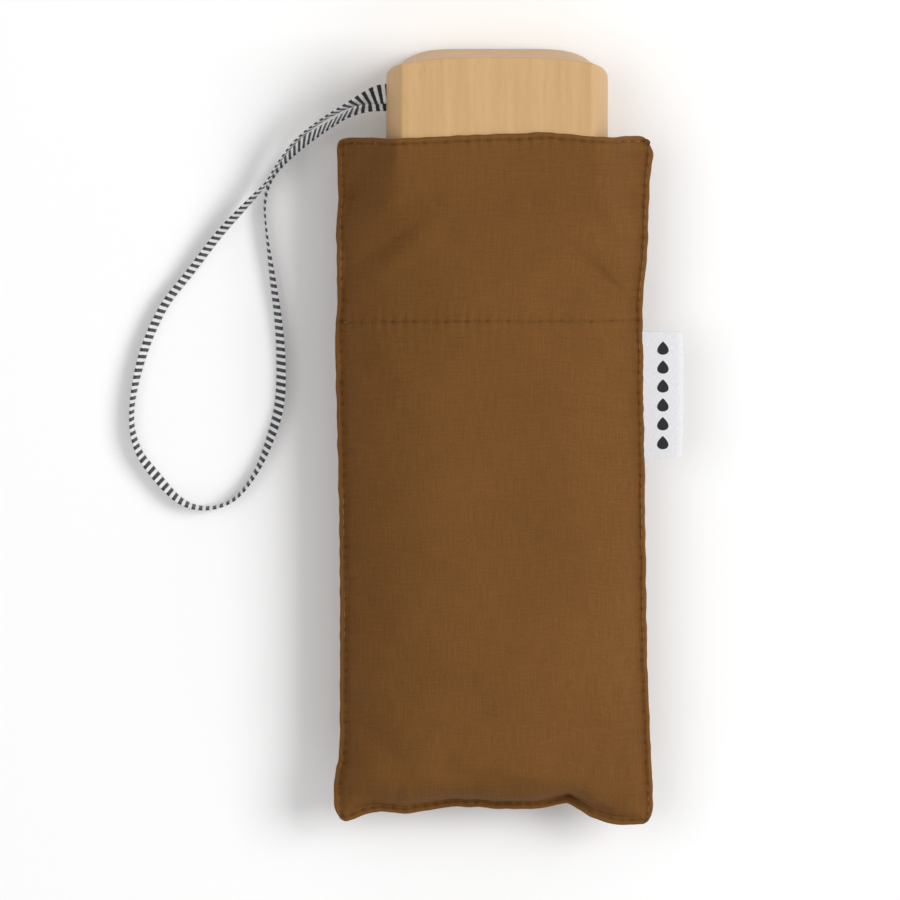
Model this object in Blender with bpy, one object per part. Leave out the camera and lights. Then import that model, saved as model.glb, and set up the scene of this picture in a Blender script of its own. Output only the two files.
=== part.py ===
"""A compact folding umbrella, closed and in its sleeve, lying on its back.

Metres, +Z up. The shaft runs along Y with the handle at +Y and the crown at -Y, the surface
that it lies on is z = 0, and Y = 0 is the middle of the closed length.
"""

from math import asin, atan2, cos, degrees, pi, radians, sin, sqrt

import bmesh
import bpy
from mathutils import Matrix, Vector

# Whole object
AXIS_Z = 0.0157  # height of the shaft axis over the surface
FIT_GAP = 0.0003  # clearance between pieces that touch

# Handle block
HANDLE_Y = 0.055  # face that meets the umbrella
HANDLE_END_Y = 0.0841
HANDLE_HALF_WIDTH = 0.025
HANDLE_FLAT_HALF = 0.0215  # half width of the flat front and back
HANDLE_HALF_THICK = 0.0145
HANDLE_ARCH_RADIUS = 0.105  # the end is a shallow arch
HANDLE_CORNER_RADIUS = 0.0033
HANDLE_BEVEL = 0.0006

# Pins in the handle
SHAFT_PIN_Y = 0.0615
SHAFT_PIN_RADIUS = 0.0008
ANCHOR_X = -0.016
ANCHOR_Y = 0.0742
ANCHOR_RADIUS = 0.0012
PIN_TOP = 0.0225
SLOT_DEPTH_X = -0.0128
SLOT_HALF = (0.0034, 0.0023)  # half sizes of the strap slot along Y and Z

# Telescoping shaft: inner radius, outer radius, crown end and handle end of each tube
TUBES = (
    (0.0019, 0.0024, -0.0470, 0.0675),
    (0.0027, 0.0032, -0.0570, 0.0505),
    (0.0035, 0.0040, -0.0670, 0.0510),
    (0.0043, 0.0048, -0.0755, 0.0515),
)
CATCH_FROM_END = 0.0058  # from a tube's crown end to its catch button
CATCH_LENGTH = 0.0088  # the leaf ends short of the next tube inwards
CATCH_HOLE_RADIUS = 0.00095
CATCH_BUTTON_RADIUS = 0.0006
LEAF_THICK = 0.0003
LEAF_HALF_WIDTH = 0.0007

# Collar, runner and crown
COLLAR_Y = (0.0520, 0.0547)
COLLAR_RADIUS = 0.0080
RUNNER_Y = (0.0360, 0.0500)
RUNNER_BORE = 0.0051
RUNNER_RADIUS = 0.0065
RUNNER_FLANGE = 0.0077
RUNNER_TRAVEL = 0.053  # from closed to open, where the runner catch finds its hole
CROWN_Y = (-0.0780, -0.0720)
CROWN_RADIUS = 0.0086
SLOT_HALF_WIDTH = 0.00125  # slots for the rib ends in crown and runner
WIRE_RADIUS = 0.00025
WIRE_GROOVE = 0.00045
CAP_Y = (-0.0826, -0.0798)
CAP_RADIUS = 0.0065
STEM_RADIUS = 0.0020

# Ribs: layers of flat bars stacked outwards from the shaft, folded in a zigzag
RIB_COUNT = 6
FIRST_RIB_ANGLE = 30.0  # degrees from straight up
LAYER_0 = 0.0060  # radius of the stretcher's middle line
LAYER_PITCH = 0.0013
BAR_HALF_THICK = 0.0005
BAR_HALF_WIDTH = 0.0009
EYE_RADIUS = 0.00065
EYE_HOLE = 0.0004
RIVET_RADIUS = 0.00025
EAR_INNER = 0.0011
EAR_OUTER = 0.0016
BLOCK_HALF = 0.0012
BLOCK_HALF_THICK = 0.00046
EAR_RISE = 0.0006  # ear height past the rivet
RIB_ROOT_Y = -0.0745  # where the first segment hangs on the crown wire
RIB_HANDLE_Y = 0.0330  # hinges at the handle end
RIB_CROWN_Y = -0.0690  # hinges at the crown end
RIB_TIP_Y = 0.0345
STRETCHER_JOINT_Y = -0.0245
STRETCHER_RUNNER_Y = 0.0382

# Folded canopy and its tie
CANOPY_HALF = (0.0232, 0.01355)
CANOPY_CAVITY = (0.02225, 0.0126)
SQUARENESS = 3.2  # exponent of the bundle's rounded section
CANOPY_HOLE = 0.0026
TIE_Y = (0.0160, 0.0300)
TIE_HALF = (0.0240, 0.01435)
TIE_THICK = 0.0006
SNAP_RADIUS = 0.0040
SNAP_X = (0.0242, 0.0255)

# Sleeve: two panels that meet at a seam plane through the shaft axis
SLEEVE_HALF_WIDTH = 0.0355
SLEEVE_MOUTH_Y = 0.0664
MOUTH_DIP = 0.0015  # the mouth edge drops this much at its corners
SLEEVE_END_Y = -0.0872
DOG_EAR = 0.0030  # the bottom corners reach this much further
SEAM_HALF_GAP = 0.00015
SEAM_LAYER = 0.0006
# each skin: half height, flat half width, half width at the seam, end at the seam
OUTER_SKIN = (0.0157, 0.0224, 0.0334, -0.0849)
INNER_SKIN = (0.01475, 0.0218, 0.0326, -0.0841)
SHOULDER_Y = -0.0785  # where the skins start to close towards the bottom seam
LABEL_Y = (-0.0081, 0.0211)
LABEL_X = (0.0358, 0.0440)
LABEL_HALF_THICK = 0.0006

# Wrist strap: out of the handle's slot, round one open loop on the surface, and back
STRAP_RADIUS = 0.0008
STRAP_POINTS = 70
STRAP_ROUTE = (
    (-0.0190, 0.0752, 0.0167),
    (-0.0253, 0.0750, 0.0168),
    (-0.0296, 0.0739, 0.0163),
    (-0.0335, 0.0722, 0.0151),
    (-0.0380, 0.0697, 0.0132),
    (-0.0423, 0.0666, 0.0112),
    (-0.0460, 0.0632, 0.0095),
    (-0.0494, 0.0588, 0.0079),
    (-0.0522, 0.0542, 0.0069),
    (-0.0560, 0.0499, 0.0058),
    (-0.0628, 0.0424, 0.0037),
    (-0.0695, 0.0336, 0.0024),
    (-0.0760, 0.0250, 0.0022),
    (-0.0808, 0.0138, 0.0022),
    (-0.0832, 0.0015, 0.0023),
    (-0.0820, -0.0070, 0.0023),
    (-0.0776, -0.0136, 0.0022),
    (-0.0720, -0.0193, 0.0023),
    (-0.0660, -0.0209, 0.0023),
    (-0.0600, -0.0189, 0.0023),
    (-0.0554, -0.0134, 0.0023),
    (-0.0520, -0.0060, 0.0022),
    (-0.0496, 0.0025, 0.0021),
    (-0.0491, 0.0120, 0.0021),
    (-0.0497, 0.0220, 0.0022),
    (-0.0510, 0.0320, 0.0023),
    (-0.0523, 0.0420, 0.0023),
    (-0.0527, 0.0490, 0.0023),
    (-0.0513, 0.0546, 0.0024),
    (-0.0482, 0.0590, 0.0034),
    (-0.0448, 0.0624, 0.0053),
    (-0.0406, 0.0655, 0.0080),
    (-0.0366, 0.0682, 0.0108),
    (-0.0328, 0.0705, 0.0131),
    (-0.0290, 0.0721, 0.0144),
    (-0.0252, 0.0730, 0.0148),
    (-0.0190, 0.0732, 0.0148),
)

AXIS = Vector((0.0, 0.0, AXIS_Z))


def clear_scene():
    """Empties the scene of whatever it opened with."""
    for leftover in list(bpy.data.objects):
        bpy.data.objects.remove(leftover)


def material(name, colour, roughness, metallic=0.0):
    """One Principled material; colour is linear."""
    made = bpy.data.materials.new(name)
    made.use_nodes = True
    shader = made.node_tree.nodes["Principled BSDF"]
    shader.inputs["Base Color"].default_value = (*colour, 1.0)
    shader.inputs["Roughness"].default_value = roughness
    shader.inputs["Metallic"].default_value = metallic
    return made


def add_object(name, shape, finish=None, smooth_angle=35.0):
    """Puts a bmesh into the scene as an object, smooth but for its sharp edges."""
    bmesh.ops.recalc_face_normals(shape, faces=shape.faces)
    mesh = bpy.data.meshes.new(name)
    shape.to_mesh(mesh)
    shape.free()
    mesh.shade_smooth()
    mesh.set_sharp_from_angle(angle=radians(smooth_angle))
    made = bpy.data.objects.new(name, mesh)
    bpy.context.collection.objects.link(made)
    if finish:
        mesh.materials.append(finish)
    return made


def combine(body, tool, operation):
    """Applies a Boolean of tool to body and takes the tool away."""
    modifier = body.modifiers.new(operation, "BOOLEAN")
    modifier.operation = operation
    modifier.solver = "EXACT"
    modifier.object = tool
    settle(body)
    bpy.data.objects.remove(tool)


def settle(body):
    """Turns the modifiers of body into its mesh."""
    bpy.context.view_layer.update()
    graph = bpy.context.evaluated_depsgraph_get()
    shaped = bpy.data.meshes.new_from_object(body.evaluated_get(graph))
    body.modifiers.clear()
    body.data = shaped


def bevel(body, width, segments=2, angle=40.0):
    """Rounds the sharp edges of body."""
    modifier = body.modifiers.new("Edges", "BEVEL")
    modifier.width = width
    modifier.segments = segments
    modifier.limit_method = "ANGLE"
    modifier.angle_limit = radians(angle)
    settle(body)


def box_tool(low, high):
    """A box between two corners."""
    shape = bmesh.new()
    bmesh.ops.create_cube(shape, size=1.0)
    centre = (Vector(low) + Vector(high)) / 2
    size = Vector(high) - Vector(low)
    bmesh.ops.transform(
        shape,
        matrix=Matrix.Translation(centre) @ Matrix.Diagonal((*size, 1.0)),
        verts=shape.verts,
    )
    return add_object("box", shape)


def rod_tool(start, end, radius, sides=12):
    """A round rod between two points."""
    shape = bmesh.new()
    run = Vector(end) - Vector(start)
    bmesh.ops.create_cone(
        shape, cap_ends=True, segments=sides, radius1=radius, radius2=radius, depth=run.length
    )
    turn = run.to_track_quat("Z", "Y").to_matrix().to_4x4()
    middle = (Vector(start) + Vector(end)) / 2
    bmesh.ops.transform(shape, matrix=Matrix.Translation(middle) @ turn, verts=shape.verts)
    return add_object("rod", shape)


def prism_tool(outline, direction, length):
    """A closed outline of 3-D points, extruded by length along direction."""
    shape = bmesh.new()
    face = shape.faces.new([shape.verts.new(point) for point in outline])
    pulled = bmesh.ops.extrude_face_region(shape, geom=[face])
    moved = [item for item in pulled["geom"] if isinstance(item, bmesh.types.BMVert)]
    bmesh.ops.translate(shape, verts=moved, vec=Vector(direction) * length)
    return add_object("prism", shape)


def turned(name, profile, finish, sides=24, closed=True):
    """Spins a profile of (y, radius) points about the shaft axis, with a flat facing up."""
    shape = bmesh.new()
    verts = [shape.verts.new(AXIS + Vector((0.0, y, radius))) for y, radius in profile]
    edges = [shape.edges.new(pair) for pair in zip(verts, verts[1:])]
    if closed:
        edges.append(shape.edges.new((verts[-1], verts[0])))
    bmesh.ops.spin(
        shape,
        geom=verts + edges,
        cent=AXIS,
        axis=(0.0, 1.0, 0.0),
        angle=2 * pi,
        steps=sides,
        use_merge=True,
    )
    bmesh.ops.remove_doubles(shape, verts=shape.verts, dist=1e-7)
    half_step = Matrix.Rotation(pi / sides, 3, "Y")
    bmesh.ops.rotate(shape, verts=shape.verts, cent=AXIS, matrix=half_step)
    return add_object(name, shape, finish)


def bent_leaf(path, half_width, thick):
    """A flat spring: a path of (y, z) points about the shaft axis, given a width and a thickness."""
    points = [Vector(point) for point in path]
    sides = ([], [])
    for index, point in enumerate(points):
        ahead = points[min(index + 1, len(points) - 1)] - points[max(index - 1, 0)]
        across = Vector((-ahead.y, ahead.x)).normalized() * thick / 2
        sides[0].append(point + across)
        sides[1].append(point - across)
    outline = [(-half_width, y, AXIS_Z + z) for y, z in sides[0] + sides[1][::-1]]
    return prism_tool(outline, (1.0, 0.0, 0.0), 2 * half_width)


# Handle


def arc(centre, radius, start, end, steps):
    """Points on an arc, by its angles in degrees."""
    for step in range(steps + 1):
        angle = radians(start + (end - start) * step / steps)
        yield centre[0] + radius * cos(angle), centre[1] + radius * sin(angle)


def handle_section():
    """The handle across its length: flat front and back, and shallow round sides."""
    rise = HANDLE_HALF_WIDTH - HANDLE_FLAT_HALF
    radius = (HANDLE_HALF_THICK**2 + rise**2) / (2 * rise)
    centre = HANDLE_HALF_WIDTH - radius
    half_angle = degrees(asin(HANDLE_HALF_THICK / radius))
    right = list(arc((centre, 0.0), radius, -half_angle, half_angle, 8))
    return right + [(-x, -z) for x, z in right]


def handle_plan():
    """The handle seen from the front: an arched end with rounded corners."""
    side = HANDLE_HALF_WIDTH + 0.00005
    centre_y = HANDLE_END_Y - HANDLE_ARCH_RADIUS
    inner = HANDLE_ARCH_RADIUS - HANDLE_CORNER_RADIUS
    corner_x = side - HANDLE_CORNER_RADIUS
    corner_y = centre_y + sqrt(inner**2 - corner_x**2)
    meet = degrees(atan2(corner_y - centre_y, corner_x))
    corner = list(arc((corner_x, corner_y), HANDLE_CORNER_RADIUS, 0.0, meet, 5))
    arch = list(arc((0.0, centre_y), HANDLE_ARCH_RADIUS, meet, 90.0, 6))[1:]
    left = [(-x, y) for x, y in (corner + arch[:-1])[::-1]]
    foot = HANDLE_Y - 0.005
    return [(side, foot)] + corner + arch + left + [(-side, foot)]


def make_handle(wood, steel, brass):
    """The wooden block, its collar, and the two pins that hold the shaft and the strap."""
    section = [(x, HANDLE_Y, AXIS_Z + z) for x, z in handle_section()]
    block = prism_tool(section, (0.0, 1.0, 0.0), HANDLE_END_Y - HANDLE_Y + 0.002)
    plan = [(x, y, AXIS_Z - 0.02) for x, y in handle_plan()]
    combine(block, prism_tool(plan, (0.0, 0.0, 1.0), 0.04), "INTERSECT")
    bevel(block, HANDLE_BEVEL)
    tube_radius = TUBES[0][1]
    tube_end = TUBES[0][3]
    bore_end = (0.0, tube_end + FIT_GAP, AXIS_Z)
    bore = rod_tool((0.0, HANDLE_Y - 0.001, AXIS_Z), bore_end, tube_radius + FIT_GAP, 24)
    combine(block, bore, "DIFFERENCE")
    slot_low = (-0.03, ANCHOR_Y - SLOT_HALF[0], AXIS_Z - SLOT_HALF[1])
    slot_high = (SLOT_DEPTH_X, ANCHOR_Y + SLOT_HALF[0], AXIS_Z + SLOT_HALF[1])
    combine(block, box_tool(slot_low, slot_high), "DIFFERENCE")
    back = AXIS_Z - HANDLE_HALF_THICK
    pins = (
        ("handle_pin", 0.0, SHAFT_PIN_Y, SHAFT_PIN_RADIUS),
        ("strap_anchor", ANCHOR_X, ANCHOR_Y, ANCHOR_RADIUS),
    )
    for name, x, y, radius in pins:
        hole = rod_tool((x, y, back - 0.001), (x, y, PIN_TOP + FIT_GAP), radius + FIT_GAP, 16)
        combine(block, hole, "DIFFERENCE")
        pin = rod_tool((x, y, back + FIT_GAP), (x, y, PIN_TOP), radius, 16)
        pin.name = name
        pin.data.materials.append(steel)
    block.name = "handle_block"
    block.data.materials.clear()
    block.data.materials.append(wood)
    inner = tube_radius + FIT_GAP
    chamfer = 0.0006
    turned(
        "handle_collar",
        (
            (COLLAR_Y[0], inner),
            (COLLAR_Y[0], COLLAR_RADIUS - chamfer),
            (COLLAR_Y[0] + chamfer, COLLAR_RADIUS),
            (COLLAR_Y[1], COLLAR_RADIUS),
            (COLLAR_Y[1], inner),
        ),
        brass,
    )


# Shaft


def make_shaft(steel, spring_steel):
    """Four nested tubes, and a leaf catch near the crown end of the three inner ones."""
    for number, (bore, radius, crown_end, handle_end) in enumerate(TUBES, 1):
        profile = ((crown_end, bore), (crown_end, radius), (handle_end, radius), (handle_end, bore))
        tube = turned(f"shaft_tube_{number}", profile, steel)
        if number == 1:
            pin_hole = rod_tool(
                (0.0, SHAFT_PIN_Y, AXIS_Z - 0.003),
                (0.0, SHAFT_PIN_Y, AXIS_Z + 0.003),
                SHAFT_PIN_RADIUS + FIT_GAP,
            )
            combine(tube, pin_hole, "DIFFERENCE")
        if number == 4:
            button_y = (RUNNER_Y[0] + RUNNER_Y[1]) / 2 - RUNNER_TRAVEL
        else:
            button_y = crown_end + CATCH_FROM_END
            make_catch(number, bore, radius, crown_end, button_y, spring_steel)
        hole = rod_tool(
            (0.0, button_y, AXIS_Z + bore / 2), (0.0, button_y, AXIS_Z + 0.006), CATCH_HOLE_RADIUS
        )
        combine(tube, hole, "DIFFERENCE")


def make_catch(number, bore, radius, crown_end, button_y, finish):
    """A folded leaf that pushes a button up through a hole in the tube; held flush here."""
    floor = 0.0005 - bore
    roof = bore - 0.0006
    path = (
        (crown_end + CATCH_LENGTH, floor),
        (crown_end + 0.004, floor),
        (crown_end + 0.0022, floor * 0.6),
        (crown_end + 0.0015, (floor + roof) / 2),
        (crown_end + 0.0022, roof * 0.6),
        (crown_end + 0.004, roof - 0.0001),
        (button_y + 0.002, roof),
    )
    leaf = bent_leaf(path, LEAF_HALF_WIDTH, LEAF_THICK)
    button = rod_tool(
        (0.0, button_y, AXIS_Z + roof), (0.0, button_y, AXIS_Z + radius), CATCH_BUTTON_RADIUS, 10
    )
    combine(leaf, button, "UNION")
    leaf.name = f"catch_spring_{number}"
    leaf.data.materials.clear()
    leaf.data.materials.append(finish)


# Crown and runner


def cut_rib_slots(body, ends, floor_radius, reach):
    """Cuts one slot for each rib into a hub, from floor_radius outwards."""
    for index in range(RIB_COUNT):
        slot = box_tool(
            (-SLOT_HALF_WIDTH, ends[0], floor_radius), (SLOT_HALF_WIDTH, ends[1], reach)
        )
        place_round_shaft(slot, index)
        combine(body, slot, "DIFFERENCE")


def place_round_shaft(item, index):
    """Moves a piece made above the origin to rib number index round the shaft."""
    item.location = AXIS
    item.rotation_euler = (0.0, radians(FIRST_RIB_ANGLE + index * 360.0 / RIB_COUNT), 0.0)


def wire_ring(name, y, ring_radius, finish):
    """The wire that the rib ends hang on."""
    profile = [
        (y + WIRE_RADIUS * cos(angle * pi / 2.5), ring_radius + WIRE_RADIUS * sin(angle * pi / 2.5))
        for angle in range(5)
    ]
    turned(name, profile, finish, sides=30)


def groove_tool(y, ring_radius):
    """The groove that the wire lies in."""
    low, high = ring_radius - WIRE_GROOVE, ring_radius + WIRE_GROOVE
    ends = (y - WIRE_GROOVE, y + WIRE_GROOVE)
    profile = ((ends[0], low), (ends[0], high), (ends[1], high), (ends[1], low))
    return turned("groove", profile, None, sides=18)


def make_crown(plastic, steel):
    """The slotted hub on the last tube, its wire, and the cap that holds the canopy."""
    bore = TUBES[3][1] + FIT_GAP
    seat = TUBES[3][2] - FIT_GAP
    profile = (
        (CROWN_Y[1], bore),
        (CROWN_Y[1], CROWN_RADIUS),
        (CROWN_Y[0], CROWN_RADIUS),
        (CROWN_Y[0], STEM_RADIUS + FIT_GAP),
        (seat, STEM_RADIUS + FIT_GAP),
        (seat, bore),
    )
    hub = turned("crown_hub", profile, plastic)
    cut_rib_slots(hub, (CROWN_Y[0] - 0.001, CROWN_Y[1] + 0.001), bore + 0.0007, 0.012)
    layer = LAYER_0 + LAYER_PITCH
    combine(hub, groove_tool(RIB_ROOT_Y, layer), "DIFFERENCE")
    wire_ring("crown_wire", RIB_ROOT_Y, layer, steel)
    dome = [
        (CAP_Y[1] + (CAP_Y[0] - CAP_Y[1]) * sin(angle), CAP_RADIUS * cos(angle))
        for angle in [radians(step) for step in (20, 45, 70)]
    ]
    stem_end = seat - 0.0004
    profile = [(stem_end, 0.0), (stem_end, STEM_RADIUS), (CAP_Y[1], STEM_RADIUS), (CAP_Y[1], CAP_RADIUS)]
    turned("crown_cap", profile + dome + [(CAP_Y[0], 0.0)], plastic, closed=False)


def make_runner(plastic, steel, spring_steel):
    """The slide on the last tube that the stretchers hang on, with its wire and its catch."""
    start, end = RUNNER_Y
    flange_end = start + 0.0045
    grip = end - 0.003
    profile = (
        (start, RUNNER_BORE),
        (start, RUNNER_FLANGE),
        (flange_end, RUNNER_FLANGE),
        (flange_end, RUNNER_RADIUS),
        (grip, RUNNER_RADIUS),
        (grip + 0.0008, RUNNER_RADIUS + 0.0007),
        (end, RUNNER_RADIUS + 0.0007),
        (end, RUNNER_BORE),
    )
    runner = turned("runner", profile, plastic)
    cut_rib_slots(runner, (start - 0.001, flange_end - 0.0006), RUNNER_BORE - 0.001, 0.012)
    window = box_tool(
        (-0.0013, flange_end + 0.0005, AXIS_Z + 0.003), (0.0013, grip - 0.0005, AXIS_Z + 0.009)
    )
    combine(runner, window, "DIFFERENCE")
    combine(runner, groove_tool(STRETCHER_RUNNER_Y, LAYER_0), "DIFFERENCE")
    wire_ring("runner_wire", STRETCHER_RUNNER_Y, LAYER_0, steel)
    height = RUNNER_RADIUS - 0.0005
    path = (
        (flange_end + 0.0008, height - 0.0004),
        (flange_end + 0.0020, height),
        (grip - 0.0020, height),
        (grip - 0.0008, height + 0.0005),
    )
    catch = bent_leaf(path, 0.0010, 0.0004)
    middle = (start + end) / 2
    nub = rod_tool(
        (0.0, middle, AXIS_Z + TUBES[3][1] + 0.0002), (0.0, middle, AXIS_Z + height), 0.0006, 10
    )
    combine(catch, nub, "UNION")
    catch.name = "runner_catch"
    catch.data.materials.clear()
    catch.data.materials.append(spring_steel)


# Ribs, built above the origin with the shaft axis at z = 0, then turned round the shaft


def bar_end(y, layer, way, has_eye):
    """One end of a bar's side view: round about an eye, or square."""
    if not has_eye:
        return [(y, layer + way * side * BAR_HALF_THICK) for side in (-1, 1)]
    swing = degrees(asin(BAR_HALF_THICK / EYE_RADIUS))
    middle = 0.0 if way > 0 else 180.0
    return list(arc((y, layer), EYE_RADIUS, middle - swing, middle + swing, 5))


def make_bar(start, end, layer, eye_at_start=False, eye_at_end=False):
    """A flat bar along Y, with a drilled round eye at either end."""
    side_view = bar_end(end, layer, 1, eye_at_end) + bar_end(start, layer, -1, eye_at_start)
    outline = [(-BAR_HALF_WIDTH, y, z) for y, z in side_view]
    bar = prism_tool(outline, (1.0, 0.0, 0.0), 2 * BAR_HALF_WIDTH)
    for y, has_eye in ((start, eye_at_start), (end, eye_at_end)):
        if has_eye:
            combine(bar, rod_tool((-0.003, y, layer), (0.003, y, layer), EYE_HOLE, 6), "DIFFERENCE")
    return bar


def add_fork(bar, y, layer, outwards=1.0):
    """A block with two ears and the rivet that holds the eye of the next layer."""
    low = (-EAR_OUTER, y - BLOCK_HALF, layer - BLOCK_HALF_THICK)
    high = (EAR_OUTER, y + BLOCK_HALF, layer + BLOCK_HALF_THICK)
    combine(bar, box_tool(low, high), "UNION")
    next_layer = layer + outwards * LAYER_PITCH
    heights = sorted((layer, next_layer + outwards * EAR_RISE))
    ear_face = EAR_OUTER - 0.00004
    for side in (-1, 1):
        edges = sorted((side * EAR_INNER, side * ear_face))
        low = (edges[0], y - EYE_RADIUS, heights[0])
        combine(bar, box_tool(low, (edges[1], y + EYE_RADIUS, heights[1])), "UNION")
    reach = (EAR_INNER + EAR_OUTER) / 2
    combine(bar, rod_tool((-reach, y, next_layer), (reach, y, next_layer), RIVET_RADIUS, 6), "UNION")


def rib_pieces():
    """The six pieces of one rib: the stretcher and five segments, from the shaft outwards."""
    layers = [LAYER_0 + LAYER_PITCH * number for number in range(6)]
    handle_end = RIB_HANDLE_Y + BLOCK_HALF / 2
    crown_end = RIB_CROWN_Y - BLOCK_HALF / 2
    yield "stretcher", make_bar(STRETCHER_JOINT_Y, STRETCHER_RUNNER_Y, layers[0], True, True)

    first = make_bar(RIB_ROOT_Y, handle_end, layers[1], eye_at_start=True)
    add_fork(first, STRETCHER_JOINT_Y, layers[1], outwards=-1.0)
    add_fork(first, RIB_HANDLE_Y, layers[1])
    yield "segment_1", first

    for number in (2, 4):
        inner = make_bar(crown_end, RIB_HANDLE_Y, layers[number], eye_at_end=True)
        add_fork(inner, RIB_CROWN_Y, layers[number])
        yield f"segment_{number}", inner

    third = make_bar(RIB_CROWN_Y, handle_end, layers[3], eye_at_start=True)
    add_fork(third, RIB_HANDLE_Y, layers[3])
    yield "segment_3", third

    fifth = make_bar(RIB_CROWN_Y, RIB_TIP_Y, layers[5], eye_at_start=True)
    tip_start = (0.0, RIB_TIP_Y - 0.004, layers[5])
    combine(fifth, rod_tool(tip_start, (0.0, RIB_TIP_Y + 0.002, layers[5]), 0.0007, 6), "UNION")
    yield "segment_5", fifth


def make_ribs(steel, glass_fibre):
    """Six ribs, each of six pieces that share their meshes with the other ribs' pieces."""
    for kind, model in rib_pieces():
        model.data.materials.clear()
        model.data.materials.append(glass_fibre if kind == "segment_5" else steel)
        for index in range(RIB_COUNT):
            copy = model if index == 0 else bpy.data.objects.new("copy", model.data)
            if index:
                bpy.context.collection.objects.link(copy)
            copy.name = f"rib_{index + 1}_{kind}"
            place_round_shaft(copy, index)


# Canopy and tie


def rounded_ring(half_width, half_height, y, count, squareness):
    """Points of a rounded section across the shaft."""
    for step in range(count):
        angle = 2 * pi * (step + 0.5) / count
        reach = (abs(cos(angle)) ** squareness + abs(sin(angle)) ** squareness) ** (-1 / squareness)
        yield half_width * reach * cos(angle), y, AXIS_Z + half_height * reach * sin(angle)


def ring_loft(name, rings, finish, count=32):
    """Joins rings of (y, half width, half height, squareness) in a closed round."""
    shape = bmesh.new()
    loops = []
    for y, half_width, half_height, squareness in rings:
        points = rounded_ring(half_width, half_height, y, count, squareness)
        loops.append([shape.verts.new(point) for point in points])
    for one, other in zip(loops, loops[1:] + loops[:1]):
        for step in range(count):
            after = (step + 1) % count
            shape.faces.new((one[step], one[after], other[after], other[step]))
    return add_object(name, shape, finish)


def make_canopy(cloth, tie_cloth, steel):
    """The folded canopy as one thick skin round the frame, with its tie band and snap."""
    wide, high = CANOPY_HALF
    inner_wide, inner_high = CANOPY_CAVITY
    rings = (
        (0.0460, wide - 0.0008, high - 0.0006, SQUARENESS),
        (0.0400, wide, high, SQUARENESS),
        (-0.0740, wide, high, SQUARENESS),
        (-0.0775, wide - 0.0009, high - 0.0008, SQUARENESS),
        (-0.0790, wide - 0.0035, high - 0.0028, SQUARENESS),
        (-0.0794, wide - 0.0060, high - 0.0042, SQUARENESS),
        (-0.0794, CANOPY_HOLE, CANOPY_HOLE, 2.0),
        (-0.0784, CANOPY_HOLE, CANOPY_HOLE, 2.0),
        (-0.0784, inner_wide - 0.0045, inner_high - 0.0028, SQUARENESS),
        (-0.0765, inner_wide - 0.0012, inner_high - 0.0008, SQUARENESS),
        (-0.0730, inner_wide, inner_high, SQUARENESS),
        (0.0400, inner_wide, inner_high, SQUARENESS),
        (0.0460, inner_wide - 0.0008, inner_high - 0.0006, SQUARENESS),
    )
    ring_loft("canopy", rings, cloth)
    wide, high = TIE_HALF
    start, end = TIE_Y
    rings = (
        (start, wide, high, SQUARENESS),
        (end, wide, high, SQUARENESS),
        (end, wide - TIE_THICK, high - TIE_THICK, SQUARENESS),
        (start, wide - TIE_THICK, high - TIE_THICK, SQUARENESS),
    )
    ring_loft("tie_band", rings, tie_cloth)
    middle = (start + end) / 2
    snap = rod_tool((SNAP_X[0], middle, AXIS_Z), (SNAP_X[1], middle, AXIS_Z), SNAP_RADIUS, 16)
    bevel(snap, 0.0004)
    snap.name = "tie_snap"
    snap.data.materials.append(steel)


# Sleeve


def skin_columns(skin):
    """Places across the sleeve, and how much of the full height the skin has there."""
    flat, seam = skin[1:3]
    half = [(SLEEVE_HALF_WIDTH, 0.0)]
    for step in (1.0, 0.86, 0.72, 0.58, 0.44, 0.3, 0.15, 0.0):
        half.append((flat + (seam - flat) * step, (1 - step**1.5) ** 1.15))
    half += [(flat * 0.5, 1.0)]
    return half + [(0.0, 1.0)] + [(-x, share) for x, share in half[::-1]]


def skin_rows(skin):
    """Places along the sleeve, and how much of the full height the skin has there."""
    seam_end = skin[3]
    rows = [(y, 1.0) for y in (0.048, 0.0247, 0.0, -0.025, -0.050, -0.070, SHOULDER_Y)]
    for angle in (20, 40, 57, 74, 90):
        rows.append((SHOULDER_Y + (seam_end - SHOULDER_Y) * sin(radians(angle)), cos(radians(angle))))
    return rows


def skin_grid(shape, skin, lowest):
    """One skin of a panel, as rows of vertices from the mouth to the bottom edge."""
    grid = []
    rows = [(SLEEVE_MOUTH_Y, 1.0)] + skin_rows(skin) + [(SLEEVE_END_Y, 0.0)]
    for number, (y, share_along) in enumerate(rows):
        row = []
        for x, share_across in skin_columns(skin):
            edge = abs(x) / SLEEVE_HALF_WIDTH
            shift = 0.0
            if number == 0:
                shift = -MOUTH_DIP * edge**2
            elif y < SHOULDER_Y:
                shift = -DOG_EAR * edge**2.5 * (SHOULDER_Y - y) / (SHOULDER_Y - SLEEVE_END_Y)
            height = max(lowest, skin[0] * share_along * share_across)
            row.append(shape.verts.new((x, y + shift, AXIS_Z + height)))
        grid.append(row)
    return grid


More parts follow.
